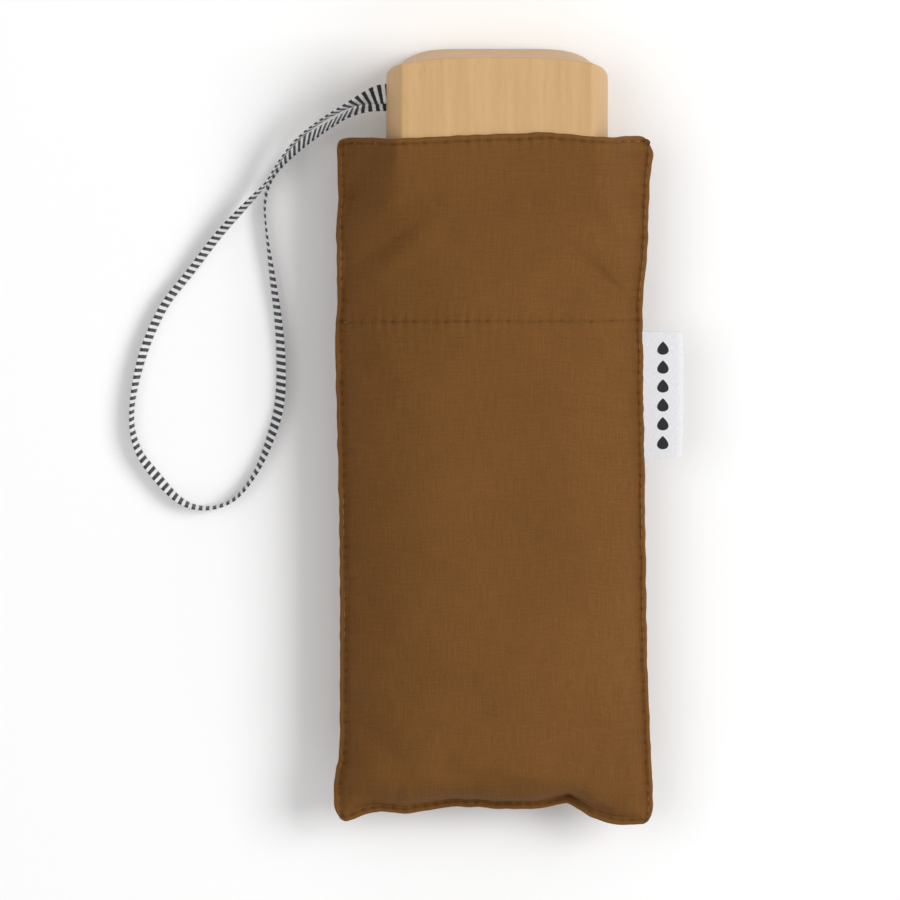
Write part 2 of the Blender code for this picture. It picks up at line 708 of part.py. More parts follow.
def make_panel(name, finish, turn_over):
    """One sleeve panel: a cloth shell over half of the umbrella, with its seam allowance."""
    shape = bmesh.new()
    outer = skin_grid(shape, OUTER_SKIN, SEAM_HALF_GAP + SEAM_LAYER)
    inner = skin_grid(shape, INNER_SKIN, SEAM_HALF_GAP)
    for grid in (outer, inner):
        for row, next_row in zip(grid, grid[1:]):
            for column in range(len(row) - 1):
                after = column + 1
                shape.faces.new((row[column], row[after], next_row[after], next_row[column]))
    for rim_outer, rim_inner in (
        (outer[0], inner[0]),
        (outer[-1], inner[-1]),
        ([row[0] for row in outer], [row[0] for row in inner]),
        ([row[-1] for row in outer], [row[-1] for row in inner]),
    ):
        for column in range(len(rim_outer) - 1):
            after = column + 1
            shape.faces.new(
                (rim_outer[column], rim_outer[after], rim_inner[after], rim_inner[column])
            )
    if turn_over:
        mirror = Matrix.Translation(AXIS) @ Matrix.Scale(-1, 4, (0, 0, 1)) @ Matrix.Translation(-AXIS)
        bmesh.ops.transform(shape, matrix=mirror, verts=shape.verts)
    return add_object(name, shape, finish)


def make_sleeve(cloth, label_cloth):
    """Front and back panels, and the label folded into the right-hand seam."""
    make_panel("sleeve_front", cloth, turn_over=False)
    make_panel("sleeve_back", cloth, turn_over=True)
    label = box_tool(
        (LABEL_X[0], LABEL_Y[0], AXIS_Z - LABEL_HALF_THICK),
        (LABEL_X[1], LABEL_Y[1], AXIS_Z + LABEL_HALF_THICK),
    )
    bevel(label, 0.0002)
    label.name = "sleeve_label"
    label.data.materials.append(label_cloth)


# Strap


def along_route(route, count):
    """Even points on a smooth curve through the route."""
    points = [Vector(point) for point in route]
    dense = []
    for index in range(len(points) - 1):
        before = points[max(index - 1, 0)]
        start, end = points[index], points[index + 1]
        after = points[min(index + 2, len(points) - 1)]
        for step in range(20):
            t = step / 20
            dense.append(
                0.5
                * (
                    2 * start
                    + (end - before) * t
                    + (2 * before - 5 * start + 4 * end - after) * t**2
                    + (3 * start - before - 3 * end + after) * t**3
                )
            )
    dense.append(points[-1])
    travelled = [0.0]
    for one, other in zip(dense, dense[1:]):
        travelled.append(travelled[-1] + (other - one).length)
    chosen = []
    index = 0
    for number in range(count):
        target = travelled[-1] * number / (count - 1)
        while index < len(dense) - 2 and travelled[index + 1] < target:
            index += 1
        share = (target - travelled[index]) / (travelled[index + 1] - travelled[index])
        chosen.append(dense[index].lerp(dense[index + 1], min(share, 1.0)))
    return chosen


def make_strap(webbing):
    """The wrist strap as a thin round cord along its real route."""
    curve = bpy.data.curves.new("wrist_strap", "CURVE")
    curve.dimensions = "3D"
    curve.bevel_depth = STRAP_RADIUS
    curve.bevel_resolution = 2
    curve.use_fill_caps = True
    points = along_route(STRAP_ROUTE, STRAP_POINTS)
    spline = curve.splines.new("POLY")
    spline.points.add(len(points) - 1)
    for spot, point in zip(spline.points, points):
        spot.co = (*point, 1.0)
    curve.materials.append(webbing)
    strap = bpy.data.objects.new("wrist_strap", curve)
    bpy.context.collection.objects.link(strap)


def main():
    clear_scene()
    wood = material("pale_maple", (0.58, 0.37, 0.19), 0.5)
    steel = material("plated_steel", (0.62, 0.62, 0.64), 0.25, 1.0)
    spring_steel = material("spring_steel", (0.45, 0.46, 0.48), 0.35, 1.0)
    collar_metal = material("satin_collar", (0.70, 0.70, 0.72), 0.3, 1.0)
    dark_plastic = material("black_plastic", (0.02, 0.02, 0.022), 0.4)
    glass_fibre = material("glass_fibre", (0.55, 0.55, 0.50), 0.45)
    canopy_cloth = material("canopy_cloth", (0.145, 0.072, 0.024), 0.7)
    sleeve_cloth = material("sleeve_cloth", (0.165, 0.080, 0.026), 0.75)
    label_cloth = material("label_cloth", (0.80, 0.80, 0.79), 0.8)
    webbing = material("striped_webbing", (0.10, 0.10, 0.11), 0.8)

    make_handle(wood, steel, collar_metal)
    make_shaft(steel, spring_steel)
    make_crown(dark_plastic, steel)
    make_runner(dark_plastic, steel, spring_steel)
    make_ribs(steel, glass_fibre)
    make_canopy(canopy_cloth, canopy_cloth, steel)
    make_sleeve(sleeve_cloth, label_cloth)
    make_strap(webbing)


main()
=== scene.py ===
# %% [markdown]
# # A folding umbrella in its sleeve
# The umbrella lies on its back: a pale wooden block handle at one end, a brown cloth sleeve over
# the folded frame, a striped ribbon for the wrist and a small woven label in the side seam.
# The mechanical model comes from the frame, and everything that the eye meets is made here.

# %% Load the frame
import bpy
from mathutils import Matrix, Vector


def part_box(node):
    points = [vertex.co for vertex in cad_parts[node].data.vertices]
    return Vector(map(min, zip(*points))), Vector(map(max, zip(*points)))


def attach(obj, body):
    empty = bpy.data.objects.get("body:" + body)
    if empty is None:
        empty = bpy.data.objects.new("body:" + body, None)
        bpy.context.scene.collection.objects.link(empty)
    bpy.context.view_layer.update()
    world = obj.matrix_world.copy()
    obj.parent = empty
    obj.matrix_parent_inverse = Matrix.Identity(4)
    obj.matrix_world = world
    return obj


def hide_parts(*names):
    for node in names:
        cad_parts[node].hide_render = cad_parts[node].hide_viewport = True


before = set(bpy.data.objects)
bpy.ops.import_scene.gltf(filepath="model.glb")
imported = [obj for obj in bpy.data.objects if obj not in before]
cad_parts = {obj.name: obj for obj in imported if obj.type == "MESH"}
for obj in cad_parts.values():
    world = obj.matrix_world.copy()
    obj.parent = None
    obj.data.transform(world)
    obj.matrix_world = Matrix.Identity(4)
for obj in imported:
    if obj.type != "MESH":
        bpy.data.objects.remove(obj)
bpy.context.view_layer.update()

# %% [markdown]
# The rest of the script needs Blender's own modules, and a few sizes that every piece shares.
# The shaft runs along Y at one height over the table. Reading the handle's box gives that height.

# %% Shared places
import math

import bmesh
import bpy
from mathutils import Matrix, Vector, noise

MM = 0.001
handle_low, handle_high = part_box("handle_block")
AXIS_Z = (handle_low[2] + handle_high[2]) / 2
AXIS = Vector((0.0, 0.0, AXIS_Z))
print("shaft axis is", round(AXIS_Z / MM, 2), "mm over the table")

# %% [markdown]
# ## Stage, light and camera
# A white sweep of floor and three large soft lights give an even, catalogue-like picture. The key
# light stands on the right, so the left flank of the sleeve falls into shade and reads as round.

# %% Floor
def fresh(name, operator, **settings):
    """Deselects everything, adds a primitive, and gives it a name."""
    bpy.ops.object.select_all(action="DESELECT")
    operator(**settings)
    piece = bpy.context.active_object
    piece.name = piece.data.name = name
    return piece


def plain_material(name, colour, roughness=0.5, metallic=0.0):
    """A material with one Principled shader, and its node tree."""
    made = bpy.data.materials.new(name)
    made.use_nodes = True
    shader = made.node_tree.nodes["Principled BSDF"]
    shader.inputs["Base Color"].default_value = (*colour, 1.0)
    shader.inputs["Roughness"].default_value = roughness
    shader.inputs["Metallic"].default_value = metallic
    return made


floor = fresh("floor", bpy.ops.mesh.primitive_plane_add, size=6.0)
floor.data.materials.append(plain_material("floor_paint", (0.96, 0.96, 0.96), 0.9))
print("floor", floor.name)

# %% Lights
def softbox(name, place, size, power, colour=(1.0, 1.0, 1.0)):
    """A square area light that looks at the umbrella."""
    bpy.ops.object.light_add(type="AREA", location=place)
    lamp = bpy.context.active_object
    lamp.name = name
    lamp.data.size = size
    lamp.data.energy = power
    lamp.data.color = colour
    lamp.rotation_euler = (AXIS - Vector(place)).to_track_quat("-Z", "Y").to_euler()
    return lamp


softbox("key", (1.05, 0.30, 1.20), 0.8, 15.8)
softbox("fill", (-0.8, 0.2, 1.6), 1.1, 5.8)
softbox("foot", (0.2, -1.1, 1.2), 0.9, 1.4)
world = bpy.data.worlds.new("studio")
world.use_nodes = True
world.node_tree.nodes["Background"].inputs["Color"].default_value = (1.0, 1.0, 1.0, 1.0)
world.node_tree.nodes["Background"].inputs["Strength"].default_value = 0.48
bpy.context.scene.world = world
bpy.context.scene.view_settings.view_transform = "Standard"

# %% Camera
FRAME_CENTRE = Vector((-10.6 * MM, -6.0 * MM, AXIS_Z))
CAMERA_DISTANCE = 2.0
CAMERA_TILT = math.radians(6.4)
VIEW_WIDTH = 204.0 * MM  # what the picture spans at the umbrella

bpy.ops.object.camera_add()
camera = bpy.context.active_object
camera.name = "camera"
towards = Vector((0.0, math.sin(CAMERA_TILT), math.cos(CAMERA_TILT)))
camera.location = FRAME_CENTRE + towards * CAMERA_DISTANCE
camera.rotation_euler = (-CAMERA_TILT, 0.0, 0.0)
camera.data.sensor_width = 36.0
camera.data.lens = 36.0 * CAMERA_DISTANCE / VIEW_WIDTH
camera.data.clip_end = 10.0
bpy.context.scene.camera = camera
print("lens", round(camera.data.lens), "mm")

# %% [markdown]
# ## Small tools
# A few helpers keep the cells short: one makes a piece active, one adds a modifier and applies it,
# and one picks faces or edges in edit mode by where they are.

# %% Modelling helpers
def activate(piece):
    """Selects one piece only and makes it active."""
    bpy.ops.object.select_all(action="DESELECT")
    piece.select_set(True)
    bpy.context.view_layer.objects.active = piece


def modify(piece, kind, **settings):
    """Adds a modifier, sets it up and applies it."""
    activate(piece)
    step = piece.modifiers.new(kind.title(), kind)
    for key, value in settings.items():
        setattr(step, key, value)
    bpy.ops.object.modifier_apply(modifier=step.name)
    return piece


def carve(piece, tool, operation="DIFFERENCE"):
    """A Boolean with a tool that is then thrown away."""
    modify(piece, "BOOLEAN", object=tool, operation=operation, solver="EXACT")
    bpy.data.objects.remove(tool)
    return piece


def bake_place(piece):
    """Moves a piece's place, turn and scale into its mesh."""
    activate(piece)
    bpy.ops.object.transform_apply(location=True, rotation=True, scale=True)
    return piece


def pick(piece, kind, test):
    """Enters edit mode and selects the faces or edges for which test is true."""
    activate(piece)
    bpy.ops.object.mode_set(mode="EDIT")
    bpy.ops.mesh.select_mode(type=kind)
    bpy.ops.mesh.select_all(action="DESELECT")
    shape = bmesh.from_edit_mesh(piece.data)
    items = shape.faces if kind == "FACE" else shape.edges
    chosen = [item for item in items if test(item)]
    for item in chosen:
        item.select_set(True)
    bmesh.update_edit_mesh(piece.data)
    return len(chosen)


def leave_edit():
    """Back to object mode."""
    bpy.ops.object.mode_set(mode="OBJECT")


def smooth(piece, angle=35.0):
    """Smooth shading, but for edges sharper than the angle."""
    activate(piece)
    bpy.ops.object.shade_smooth_by_angle(angle=math.radians(angle))


def from_grid(name, rows, finish=None, closed_rows=False):
    """A mesh from rows of points that follow one another; closed_rows joins each row's ends."""
    width = len(rows[0])
    points = [tuple(point) for row in rows for point in row]
    faces = []
    for r in range(len(rows) - 1):
        for c in range(width if closed_rows else width - 1):
            d = (c + 1) % width
            faces.append((r * width + c, r * width + d, (r + 1) * width + d, (r + 1) * width + c))
    mesh = bpy.data.meshes.new(name)
    mesh.from_pydata(points, [], faces)
    piece = bpy.data.objects.new(name, mesh)
    bpy.context.collection.objects.link(piece)
    if finish:
        mesh.materials.append(finish)
    return piece


print("helpers ready")

# %% [markdown]
# A material is a chain of nodes, so two more helpers build chains: one adds a node with its values
# and links, and one turns a grey value into a bump.

# %% Material helpers
def node(tree, kind, values=None, **settings):
    """Adds a node. values maps input names or numbers to a number, a colour or another socket."""
    made = tree.nodes.new(kind)
    for key, value in settings.items():
        setattr(made, key, value)
    for key, value in (values or {}).items():
        if isinstance(value, bpy.types.NodeSocket):
            tree.links.new(value, made.inputs[key])
        else:
            made.inputs[key].default_value = value
    return made


def math_node(tree, operation, first, second=0.0, third=0.0):
    """The result of one Math node."""
    return node(tree, "ShaderNodeMath", {0: first, 1: second, 2: third}, operation=operation).outputs[0]


def ramp(tree, factor, stops):
    """A colour ramp; stops are (place, linear colour)."""
    made = node(tree, "ShaderNodeValToRGB", {"Fac": factor})
    while len(made.color_ramp.elements) < len(stops):
        made.color_ramp.elements.new(0.5)
    for element, (place, colour) in zip(made.color_ramp.elements, stops):
        element.position = place
        element.color = (*colour, 1.0)
    return made.outputs["Color"]


def stretched(tree, scale, turn=(0.0, 0.0, 0.0), source="Object"):
    """Texture coordinates, scaled along each axis."""
    spot = node(tree, "ShaderNodeTexCoord")
    values = {"Vector": spot.outputs[source], "Scale": scale, "Rotation": turn}
    return node(tree, "ShaderNodeMapping", values).outputs["Vector"]


def bump(tree, height, distance, strength=1.0, below=None):
    """Feeds a height to the shader's normal, over another bump if one is given."""
    values = {"Height": height, "Distance": distance, "Strength": strength}
    if below:
        values["Normal"] = below
    made = node(tree, "ShaderNodeBump", values)
    tree.links.new(made.outputs["Normal"], tree.nodes["Principled BSDF"].inputs["Normal"])
    return made.outputs["Normal"]


def connect(tree, socket, target):
    """Links a socket to one of the shader's inputs."""
    tree.links.new(socket, tree.nodes["Principled BSDF"].inputs[target])


def mixed_colour(tree, under, over, factor, blend_type="MIX"):
    """Two colours put together; each may be a socket or a colour."""
    made = node(tree, "ShaderNodeMix", data_type="RGBA", blend_type=blend_type)
    for socket, value in ((made.inputs[0], factor), (made.inputs[6], under), (made.inputs[7], over)):
        if isinstance(value, bpy.types.NodeSocket):
            tree.links.new(value, socket)
        else:
            socket.default_value = (*value, 1.0) if isinstance(value, tuple) else value
    return made.outputs[2]


def noise_texture(tree, coordinates, scale, detail=4.0, roughness=0.55):
    """The grey value of a noise texture."""
    values = {"Vector": coordinates, "Scale": scale, "Detail": detail, "Roughness": roughness}
    return node(tree, "ShaderNodeTexNoise", values).outputs["Fac"]


print("material helpers ready")

# %% [markdown]
# ## The wrist strap
# The strap is a narrow woven ribbon with fine black and white cross stripes. Both its ends go into
# the slot in the handle, and the loop lies on the table. A ribbon only bends across its flat side,
# so on a curve it stands up on its edge. The route below is the ribbon's middle line, each point
# with the ribbon's lean: 0 is flat on the table and 90 is on its edge.

# %% Ribbon route
RIBBON_WIDTH = 4.5 * MM
RIBBON_THICK = 0.42 * MM
STRIPE = 1.62 * MM  # one black and one white stripe

# x, y, z, lean in degrees
RIBBON_ROUTE = (
    (-0.0190, 0.0752, 0.0167, 0.0),
    (-0.0253, 0.0750, 0.0168, 0.0),
    (-0.0296, 0.0739, 0.0163, 44.0),
    (-0.0335, 0.0722, 0.0151, 70.0),
    (-0.0380, 0.0697, 0.0132, 78.0),
    (-0.0423, 0.0666, 0.0112, 80.0),
    (-0.0460, 0.0632, 0.0095, 82.0),
    (-0.0494, 0.0588, 0.0079, 85.0),
    (-0.0522, 0.0542, 0.0069, 84.0),
    (-0.0560, 0.0499, 0.0058, 74.0),
    (-0.0628, 0.0424, 0.0037, 66.0),
    (-0.0695, 0.0336, 0.0024, 66.0),
    (-0.0760, 0.0250, 0.0022, 66.0),
    (-0.0808, 0.0138, 0.0022, 68.0),
    (-0.0832, 0.0015, 0.0023, 80.0),
    (-0.0820, -0.0070, 0.0023, 76.0),
    (-0.0776, -0.0136, 0.0022, 68.0),
    (-0.0720, -0.0193, 0.0023, 78.0),
    (-0.0660, -0.0209, 0.0023, 88.0),
    (-0.0600, -0.0189, 0.0023, 88.0),
    (-0.0554, -0.0134, 0.0023, 82.0),
    (-0.0520, -0.0060, 0.0022, 70.0),
    (-0.0496, 0.0025, 0.0021, 62.0),
    (-0.0491, 0.0120, 0.0021, 62.0),
    (-0.0497, 0.0220, 0.0022, 68.0),
    (-0.0510, 0.0320, 0.0023, 74.0),
    (-0.0523, 0.0420, 0.0023, 86.0),
    (-0.0527, 0.0490, 0.0023, 86.0),
    (-0.0513, 0.0546, 0.0024, 80.0),
    (-0.0482, 0.0590, 0.0034, 72.0),
    (-0.0448, 0.0624, 0.0053, 64.0),
    (-0.0406, 0.0655, 0.0080, 70.0),
    (-0.0366, 0.0682, 0.0108, 76.0),
    (-0.0328, 0.0705, 0.0131, 74.0),
    (-0.0290, 0.0721, 0.0144, 56.0),
    (-0.0252, 0.0730, 0.0148, 22.0),
    (-0.0190, 0.0732, 0.0148, 0.0),
)


def read_smoothly(points, spacing):
    """Even points on a smooth curve through a list of points of any size."""
    dense = []
    last = len(points) - 1
    for index in range(last):
        before, start = points[max(index - 1, 0)], points[index]
        end, after = points[index + 1], points[min(index + 2, last)]
        for step in range(24):
            t = step / 24
            dense.append([
                0.5 * (2 * b + (c - a) * t + (2 * a - 5 * b + 4 * c - d) * t**2
                       + (3 * b - a - 3 * c + d) * t**3)
                for a, b, c, d in zip(before, start, end, after)
            ])
    dense.append(list(points[-1]))
    travelled = [0.0]
    for one, other in zip(dense, dense[1:]):
        travelled.append(travelled[-1] + math.dist(one[:3], other[:3]))
    count = round(travelled[-1] / spacing)
    evened = []
    index = 0
    for number in range(count + 1):
        target = travelled[-1] * number / count
        while index < len(dense) - 2 and travelled[index + 1] < target:
            index += 1
        share = (target - travelled[index]) / (travelled[index + 1] - travelled[index])
        share = min(share, 1.0)
        evened.append([a + (b - a) * share for a, b in zip(dense[index], dense[index + 1])])
    return evened, travelled[-1]


route, ribbon_length = read_smoothly(RIBBON_ROUTE, STRIPE / 8)
print("ribbon is", round(ribbon_length / MM, 1), "mm long")

# %% [markdown]
# The weave makes each stripe a small rib: the white bars stand a little proud, and the edges
# bulge with them. So the ribbon's section is swept along the route with a thickness and a width
# that breathe once for each stripe, and the mesh keeps the distance along it in its UV map.

# %% Ribbon mesh
def ribbon_frame(index):
    """Middle point, across direction and face direction of the ribbon at one place."""
    here = Vector(route[index][:3])
    ahead = Vector(route[min(index + 2, len(route) - 1)][:3])
    behind = Vector(route[max(index - 2, 0)][:3])
    along = (ahead - behind).normalized()
    level = along.cross(Vector((0.0, 0.0, 1.0))).normalized()
    upright = level.cross(along).normalized()
    lean = math.radians(route[index][3])
    across = level * math.cos(lean) + upright * math.sin(lean)
    return here, across, along.cross(across).normalized()


def ribbon_section(half_width, half_thick):
    """Points round the ribbon: two flat faces and two round edges."""
    core = half_width - half_thick
    for place in (-1.0, -0.5, 0.0, 0.5, 1.0):
        yield core * place, half_thick
    yield half_width, 0.0
    for place in (1.0, 0.5, 0.0, -0.5, -1.0):
        yield core * place, -half_thick
    yield -half_width, 0.0


ribbon_rows = []
for index in range(len(route)):
    middle, across, out = ribbon_frame(index)
    swell = 0.5 + 0.5 * math.cos(2 * math.pi * index / 8)
    half_width = RIBBON_WIDTH / 2 * (0.975 + 0.025 * swell)
    half_thick = RIBBON_THICK / 2 * (0.78 + 0.22 * swell)
    ribbon_rows.append([
        middle + across * a + out * b for a, b in ribbon_section(half_width, half_thick)
    ])
    tuple(middle)
strap = from_grid("wrist_strap_ribbon", ribbon_rows, closed_rows=True)
activate(strap)
bpy.ops.object.mode_set(mode="EDIT")
bpy.ops.mesh.select_mode(type="EDGE")
bpy.ops.mesh.select_all(action="DESELECT")
bpy.ops.mesh.select_non_manifold()
bpy.ops.mesh.fill_holes(sides=0)
bpy.ops.mesh.select_all(action="SELECT")
bpy.ops.mesh.normals_make_consistent(inside=False)
leave_edit()
ring_size = len(ribbon_rows[0])
uv = strap.data.uv_layers.new(name="along")
for loop in strap.data.loops:
    ring, spot = divmod(loop.vertex_index, ring_size)
    uv.data[loop.index].uv = (ring / 8, (spot % 6) / 5)
smooth(strap, 50.0)
print("ribbon faces", len(strap.data.polygons))

# %% Ribbon material
def ribbon_finish():
    """Black and white cross stripes of cotton yarn, one pair for each unit of U."""
    made = plain_material("striped_ribbon", (0.8, 0.8, 0.8), 0.85)
    tree = made.node_tree
    spot = node(tree, "ShaderNodeUVMap", uv_map="along").outputs["UV"]
    apart = node(tree, "ShaderNodeSeparateXYZ", {"Vector": spot})
    fuzz = noise_texture(tree, stretched(tree, (1.0, 1.0, 1.0)), 2600.0, 2.0)
    wobble = math_node(tree, "MULTIPLY", math_node(tree, "SUBTRACT", fuzz, 0.5), 0.16)
    place = math_node(tree, "ADD", apart.outputs["X"], wobble)
    wave = math_node(tree, "COSINE", math_node(tree, "MULTIPLY", place, 2 * math.pi))
    colour = ramp(tree, math_node(tree, "MULTIPLY_ADD", wave, 0.5, 0.5), (
        (0.36, (0.022, 0.022, 0.027)), (0.50, (0.16, 0.16, 0.17)), (0.60, (0.80, 0.80, 0.81)),
    ))
    connect(tree, colour, "Base Color")
    yarn = node(tree, "ShaderNodeTexNoise", {
        "Vector": node(tree, "ShaderNodeMapping", {"Vector": spot, "Scale": (6.0, 26.0, 1.0)}).outputs[0],
        "Scale": 1.0, "Detail": 2.0,
    }).outputs["Fac"]
    bump(tree, yarn, 0.12 * MM, 0.8)
    tree.nodes["Principled BSDF"].inputs["Sheen Weight"].default_value = 0.15
    return made


strap.data.materials.append(ribbon_finish())
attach(strap, "handle")
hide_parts("wrist_strap")

# %% [markdown]
# ## The handle
# The handle is a block of pale maple: flat in front and behind, shallow round sides, and an end cut
# to a gentle arch. On a bench it would be sawn along the arch, its sides planed round, and
# everything sanded. Here it is made in the same order. A grid is extruded to a slab, and its far
# end is pushed to the arch. Two large cylinders round the sides. A voxel remesh and a few passes of
# smoothing then take the place of the sandpaper: they round every rim by half a millimetre.

# %% Handle block
SIDE_RADIUS = 31.8 * MM
# how far the arched end falls back at its sides, and how late: behind, then in front
END_DROP = (8.0 * MM, 2.3 * MM)
END_POWER = (6.0, 3.1)
SANDING_GRID = 0.34 * MM
half_width = (handle_high[0] - handle_low[0]) / 2
thickness = handle_high[2] - handle_low[2]
block_length = handle_high[1] - handle_low[1]
middle_y = (handle_high[1] + handle_low[1]) / 2


def cylinder_tool(place, radius, depth, axis, vertices=360):
    """A cylinder along one axis, used as a cutter."""
    turns = {"X": (0.0, math.pi / 2, 0.0), "Y": (math.pi / 2, 0.0, 0.0), "Z": (0.0, 0.0, 0.0)}
    return fresh("tool", bpy.ops.mesh.primitive_cylinder_add, vertices=vertices, radius=radius,
                 depth=depth, location=place, rotation=turns[axis])


def box_tool(low, high):
    """A block between two corners, used as a cutter."""
    middle = [(a + b) / 2 for a, b in zip(low, high)]
    size = [b - a for a, b in zip(low, high)]
    return bake_place(fresh("tool", bpy.ops.mesh.primitive_cube_add, size=1.0, location=middle,
                            scale=size))


handle = fresh("handle_wood", bpy.ops.mesh.primitive_grid_add, x_subdivisions=80, y_subdivisions=1,
               size=1.0, location=(0.0, middle_y, handle_low[2]))
handle.scale = (2 * half_width, block_length, 1.0)
bake_place(handle)
bpy.ops.object.mode_set(mode="EDIT")
bpy.ops.mesh.select_all(action="SELECT")
bpy.ops.mesh.extrude_region_move(TRANSFORM_OT_translate={"value": (0.0, 0.0, thickness)})
bpy.ops.mesh.select_all(action="SELECT")
bpy.ops.mesh.normals_make_consistent(inside=False)
leave_edit()
for vertex in handle.data.vertices:
    if vertex.co.y > middle_y:
        face = 1 if vertex.co.z > AXIS_Z else 0
        vertex.co.y -= END_DROP[face] * (abs(vertex.co.x) / half_width) ** END_POWER[face]
for side in (1, -1):
    place = (side * (half_width - SIDE_RADIUS), middle_y, AXIS_Z)
    carve(handle, cylinder_tool(place, SIDE_RADIUS, 0.2, "Y"), "INTERSECT")
modify(handle, "REMESH", mode="VOXEL", voxel_size=SANDING_GRID)
modify(handle, "SMOOTH", factor=0.5, iterations=6)
print("handle faces", len(handle.data.polygons))

# %% [markdown]
# The strap goes into a slot in the left side, and the shaft into a bore in the lower face. Two
# steel pins are pressed in from the back: one holds the shaft, one is the peg inside the slot.

# %% Handle slot and bores
SLOT_MIDDLE = Vector((-21.0 * MM, 74.2 * MM, AXIS_Z))
SLOT_LENGTH = 6.6 * MM
SLOT_HEIGHT = 4.4 * MM
SLOT_DEPTH = 16.4 * MM

slot_half = Vector((SLOT_DEPTH, SLOT_LENGTH, SLOT_HEIGHT)) / 2
slot_tool = box_tool(SLOT_MIDDLE - slot_half, SLOT_MIDDLE + slot_half)
modify(slot_tool, "BEVEL", width=1.6 * MM, segments=5, limit_method="ANGLE")
carve(handle, slot_tool)
for node_name, room in (("handle_pin", 0.2 * MM), ("strap_anchor", 0.2 * MM)):
    low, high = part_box(node_name)
    place = ((low[0] + high[0]) / 2, (low[1] + high[1]) / 2, high[2] / 2)
    radius = (high[0] - low[0]) / 2 + room
    carve(handle, cylinder_tool(place, radius, high[2] + 0.4 * MM, "Z", 32))
tube_low, tube_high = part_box("shaft_tube_1")
bore_radius = (tube_high[0] - tube_low[0]) / 2 + 0.15 * MM
bore_place = (0.0, handle_low[1] + 5.5 * MM, AXIS_Z)
carve(handle, cylinder_tool(bore_place, bore_radius, 14.6 * MM, "Y", 48))
smooth(handle, 30.0)
print("handle faces", len(handle.data.polygons))

# %% [markdown]
# Maple is pale with a fine straight grain along the handle. A noise stretched twenty times along
# the grain makes the streaks, a second, finer one makes the short flecks, and a slow wide one makes
# the light and dark bands of the boards. The end of the block shows end grain: small dots.

# %% Maple
def maple_finish():
    """Pale maple, grain along Y, with a satin lacquer."""
    made = plain_material("pale_maple", (0.6, 0.4, 0.2), 0.52)
    tree = made.node_tree
    bands = noise_texture(tree, stretched(tree, (1.0, 0.05, 0.35)), 190.0, 3.0)
    streaks = noise_texture(tree, stretched(tree, (1.0, 0.045, 1.0)), 950.0, 5.0, 0.62)
    flecks = noise_texture(tree, stretched(tree, (1.0, 0.16, 1.0)), 2300.0, 2.0)
    clouds = noise_texture(tree, stretched(tree, (1.0, 0.4, 1.0)), 60.0, 2.0)
    mixed = math_node(tree, "MULTIPLY_ADD", bands, 0.34, math_node(tree, "MULTIPLY", streaks, 0.40))
    mixed = math_node(tree, "MULTIPLY_ADD", clouds, 0.26, mixed)
    colour = ramp(tree, mixed, (
        (0.32, (0.520, 0.315, 0.140)),
        (0.46, (0.570, 0.355, 0.163)),
        (0.56, (0.602, 0.382, 0.180)),
        (0.72, (0.640, 0.415, 0.204)),
    ))
    fleck = ramp(tree, flecks, ((0.60, (1.0, 1.0, 1.0)), (0.72, (0.86, 0.80, 0.74))))
    connect(tree, mixed_colour(tree, colour, fleck, 0.45, "MULTIPLY"), "Base Color")
    rough = node(tree, "ShaderNodeMapRange", {"Value": streaks, "To Min": 0.42, "To Max": 0.60})
    connect(tree, rough.outputs[0], "Roughness")
    bump(tree, streaks, 0.03 * MM, 0.5)
    tree.nodes["Principled BSDF"].inputs["Specular IOR Level"].default_value = 0.30
    return made


handle.data.materials.clear()
handle.data.materials.append(maple_finish())
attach(handle, "handle")
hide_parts("handle_block")
print("handle ready")

# %% [markdown]
# ## The sleeve
# The sleeve is sewn from two panels, a front and a back, with a seam down each side and across
# the bottom, and a deep hem at the mouth. Each panel is a grid that is laid out between the four
# edges of the real pattern, lifted over the umbrella, and then worked like clay: soft creases run
# in from the seams, the stitching pulls a groove with small puckers, and the edges waver.

# %% Sleeve outline
SEAM_INSET = 2.0 * MM  # the panels meet this far in from their edges
CORE_HALF = 21.4 * MM  # half width of the cloth that lies flat on the handle
SHOULDER_Y = -78.0 * MM
HEM_SIDE_Y = 23.2 * MM  # the hem's stitch line at the side seams
HEM_BOW = 1.45 * MM

# outlines in mm, as (x, y): the mouth and the bottom from left to right, the sides from the mouth down
MOUTH_EDGE = ((-35.9, 63.5), (-35.3, 64.2), (-33.7, 64.6), (-25.6, 64.9), (-13.1, 65.2), (-5.2, 65.5),
              (5.2, 65.8), (9.7, 66.2), (18.6, 65.6), (25.1, 65.2), (32.2, 64.9), (33.6, 64.4),
              (34.4, 63.4))
LEFT_EDGE = ((-35.9, 63.5), (-36.2, 61.0), (-35.9, 50.8), (-36.3, 43.0), (-36.1, 33.0), (-36.2, 25.5),
             (-36.6, 19.0), (-36.2, 0.0), (-35.7, -25.0), (-35.6, -49.0), (-35.8, -74.0),
             (-36.7, -79.4), (-37.1, -85.0), (-36.8, -88.4), (-35.7, -90.4))
RIGHT_EDGE = ((34.4, 63.4), (35.3, 61.0), (34.9, 58.2), (34.5, 54.6), (34.2, 42.6), (33.7, 35.5),
              (33.2, 30.0), (33.1, 19.0), (33.6, -15.0), (34.1, -49.0), (34.5, -62.0),
              (35.1, -74.0), (35.6, -84.0), (35.5, -88.8), (34.5, -90.9))
BOTTOM_EDGE = ((-35.7, -90.4), (-34.4, -91.1), (-32.8, -90.7), (-30.3, -89.7), (-26.2, -88.9),
               (-21.0, -89.3), (-16.0, -88.6), (-9.5, -87.7), (1.8, -88.2), (10.0, -88.0),
               (14.5, -87.2), (16.4, -87.0), (18.6, -88.3), (21.4, -90.0), (25.0, -91.4),
               (29.0, -91.9), (33.0, -91.8), (34.5, -90.9))


EDGE_WAVER = 0.22 * MM  # the sewn edge wavers a little


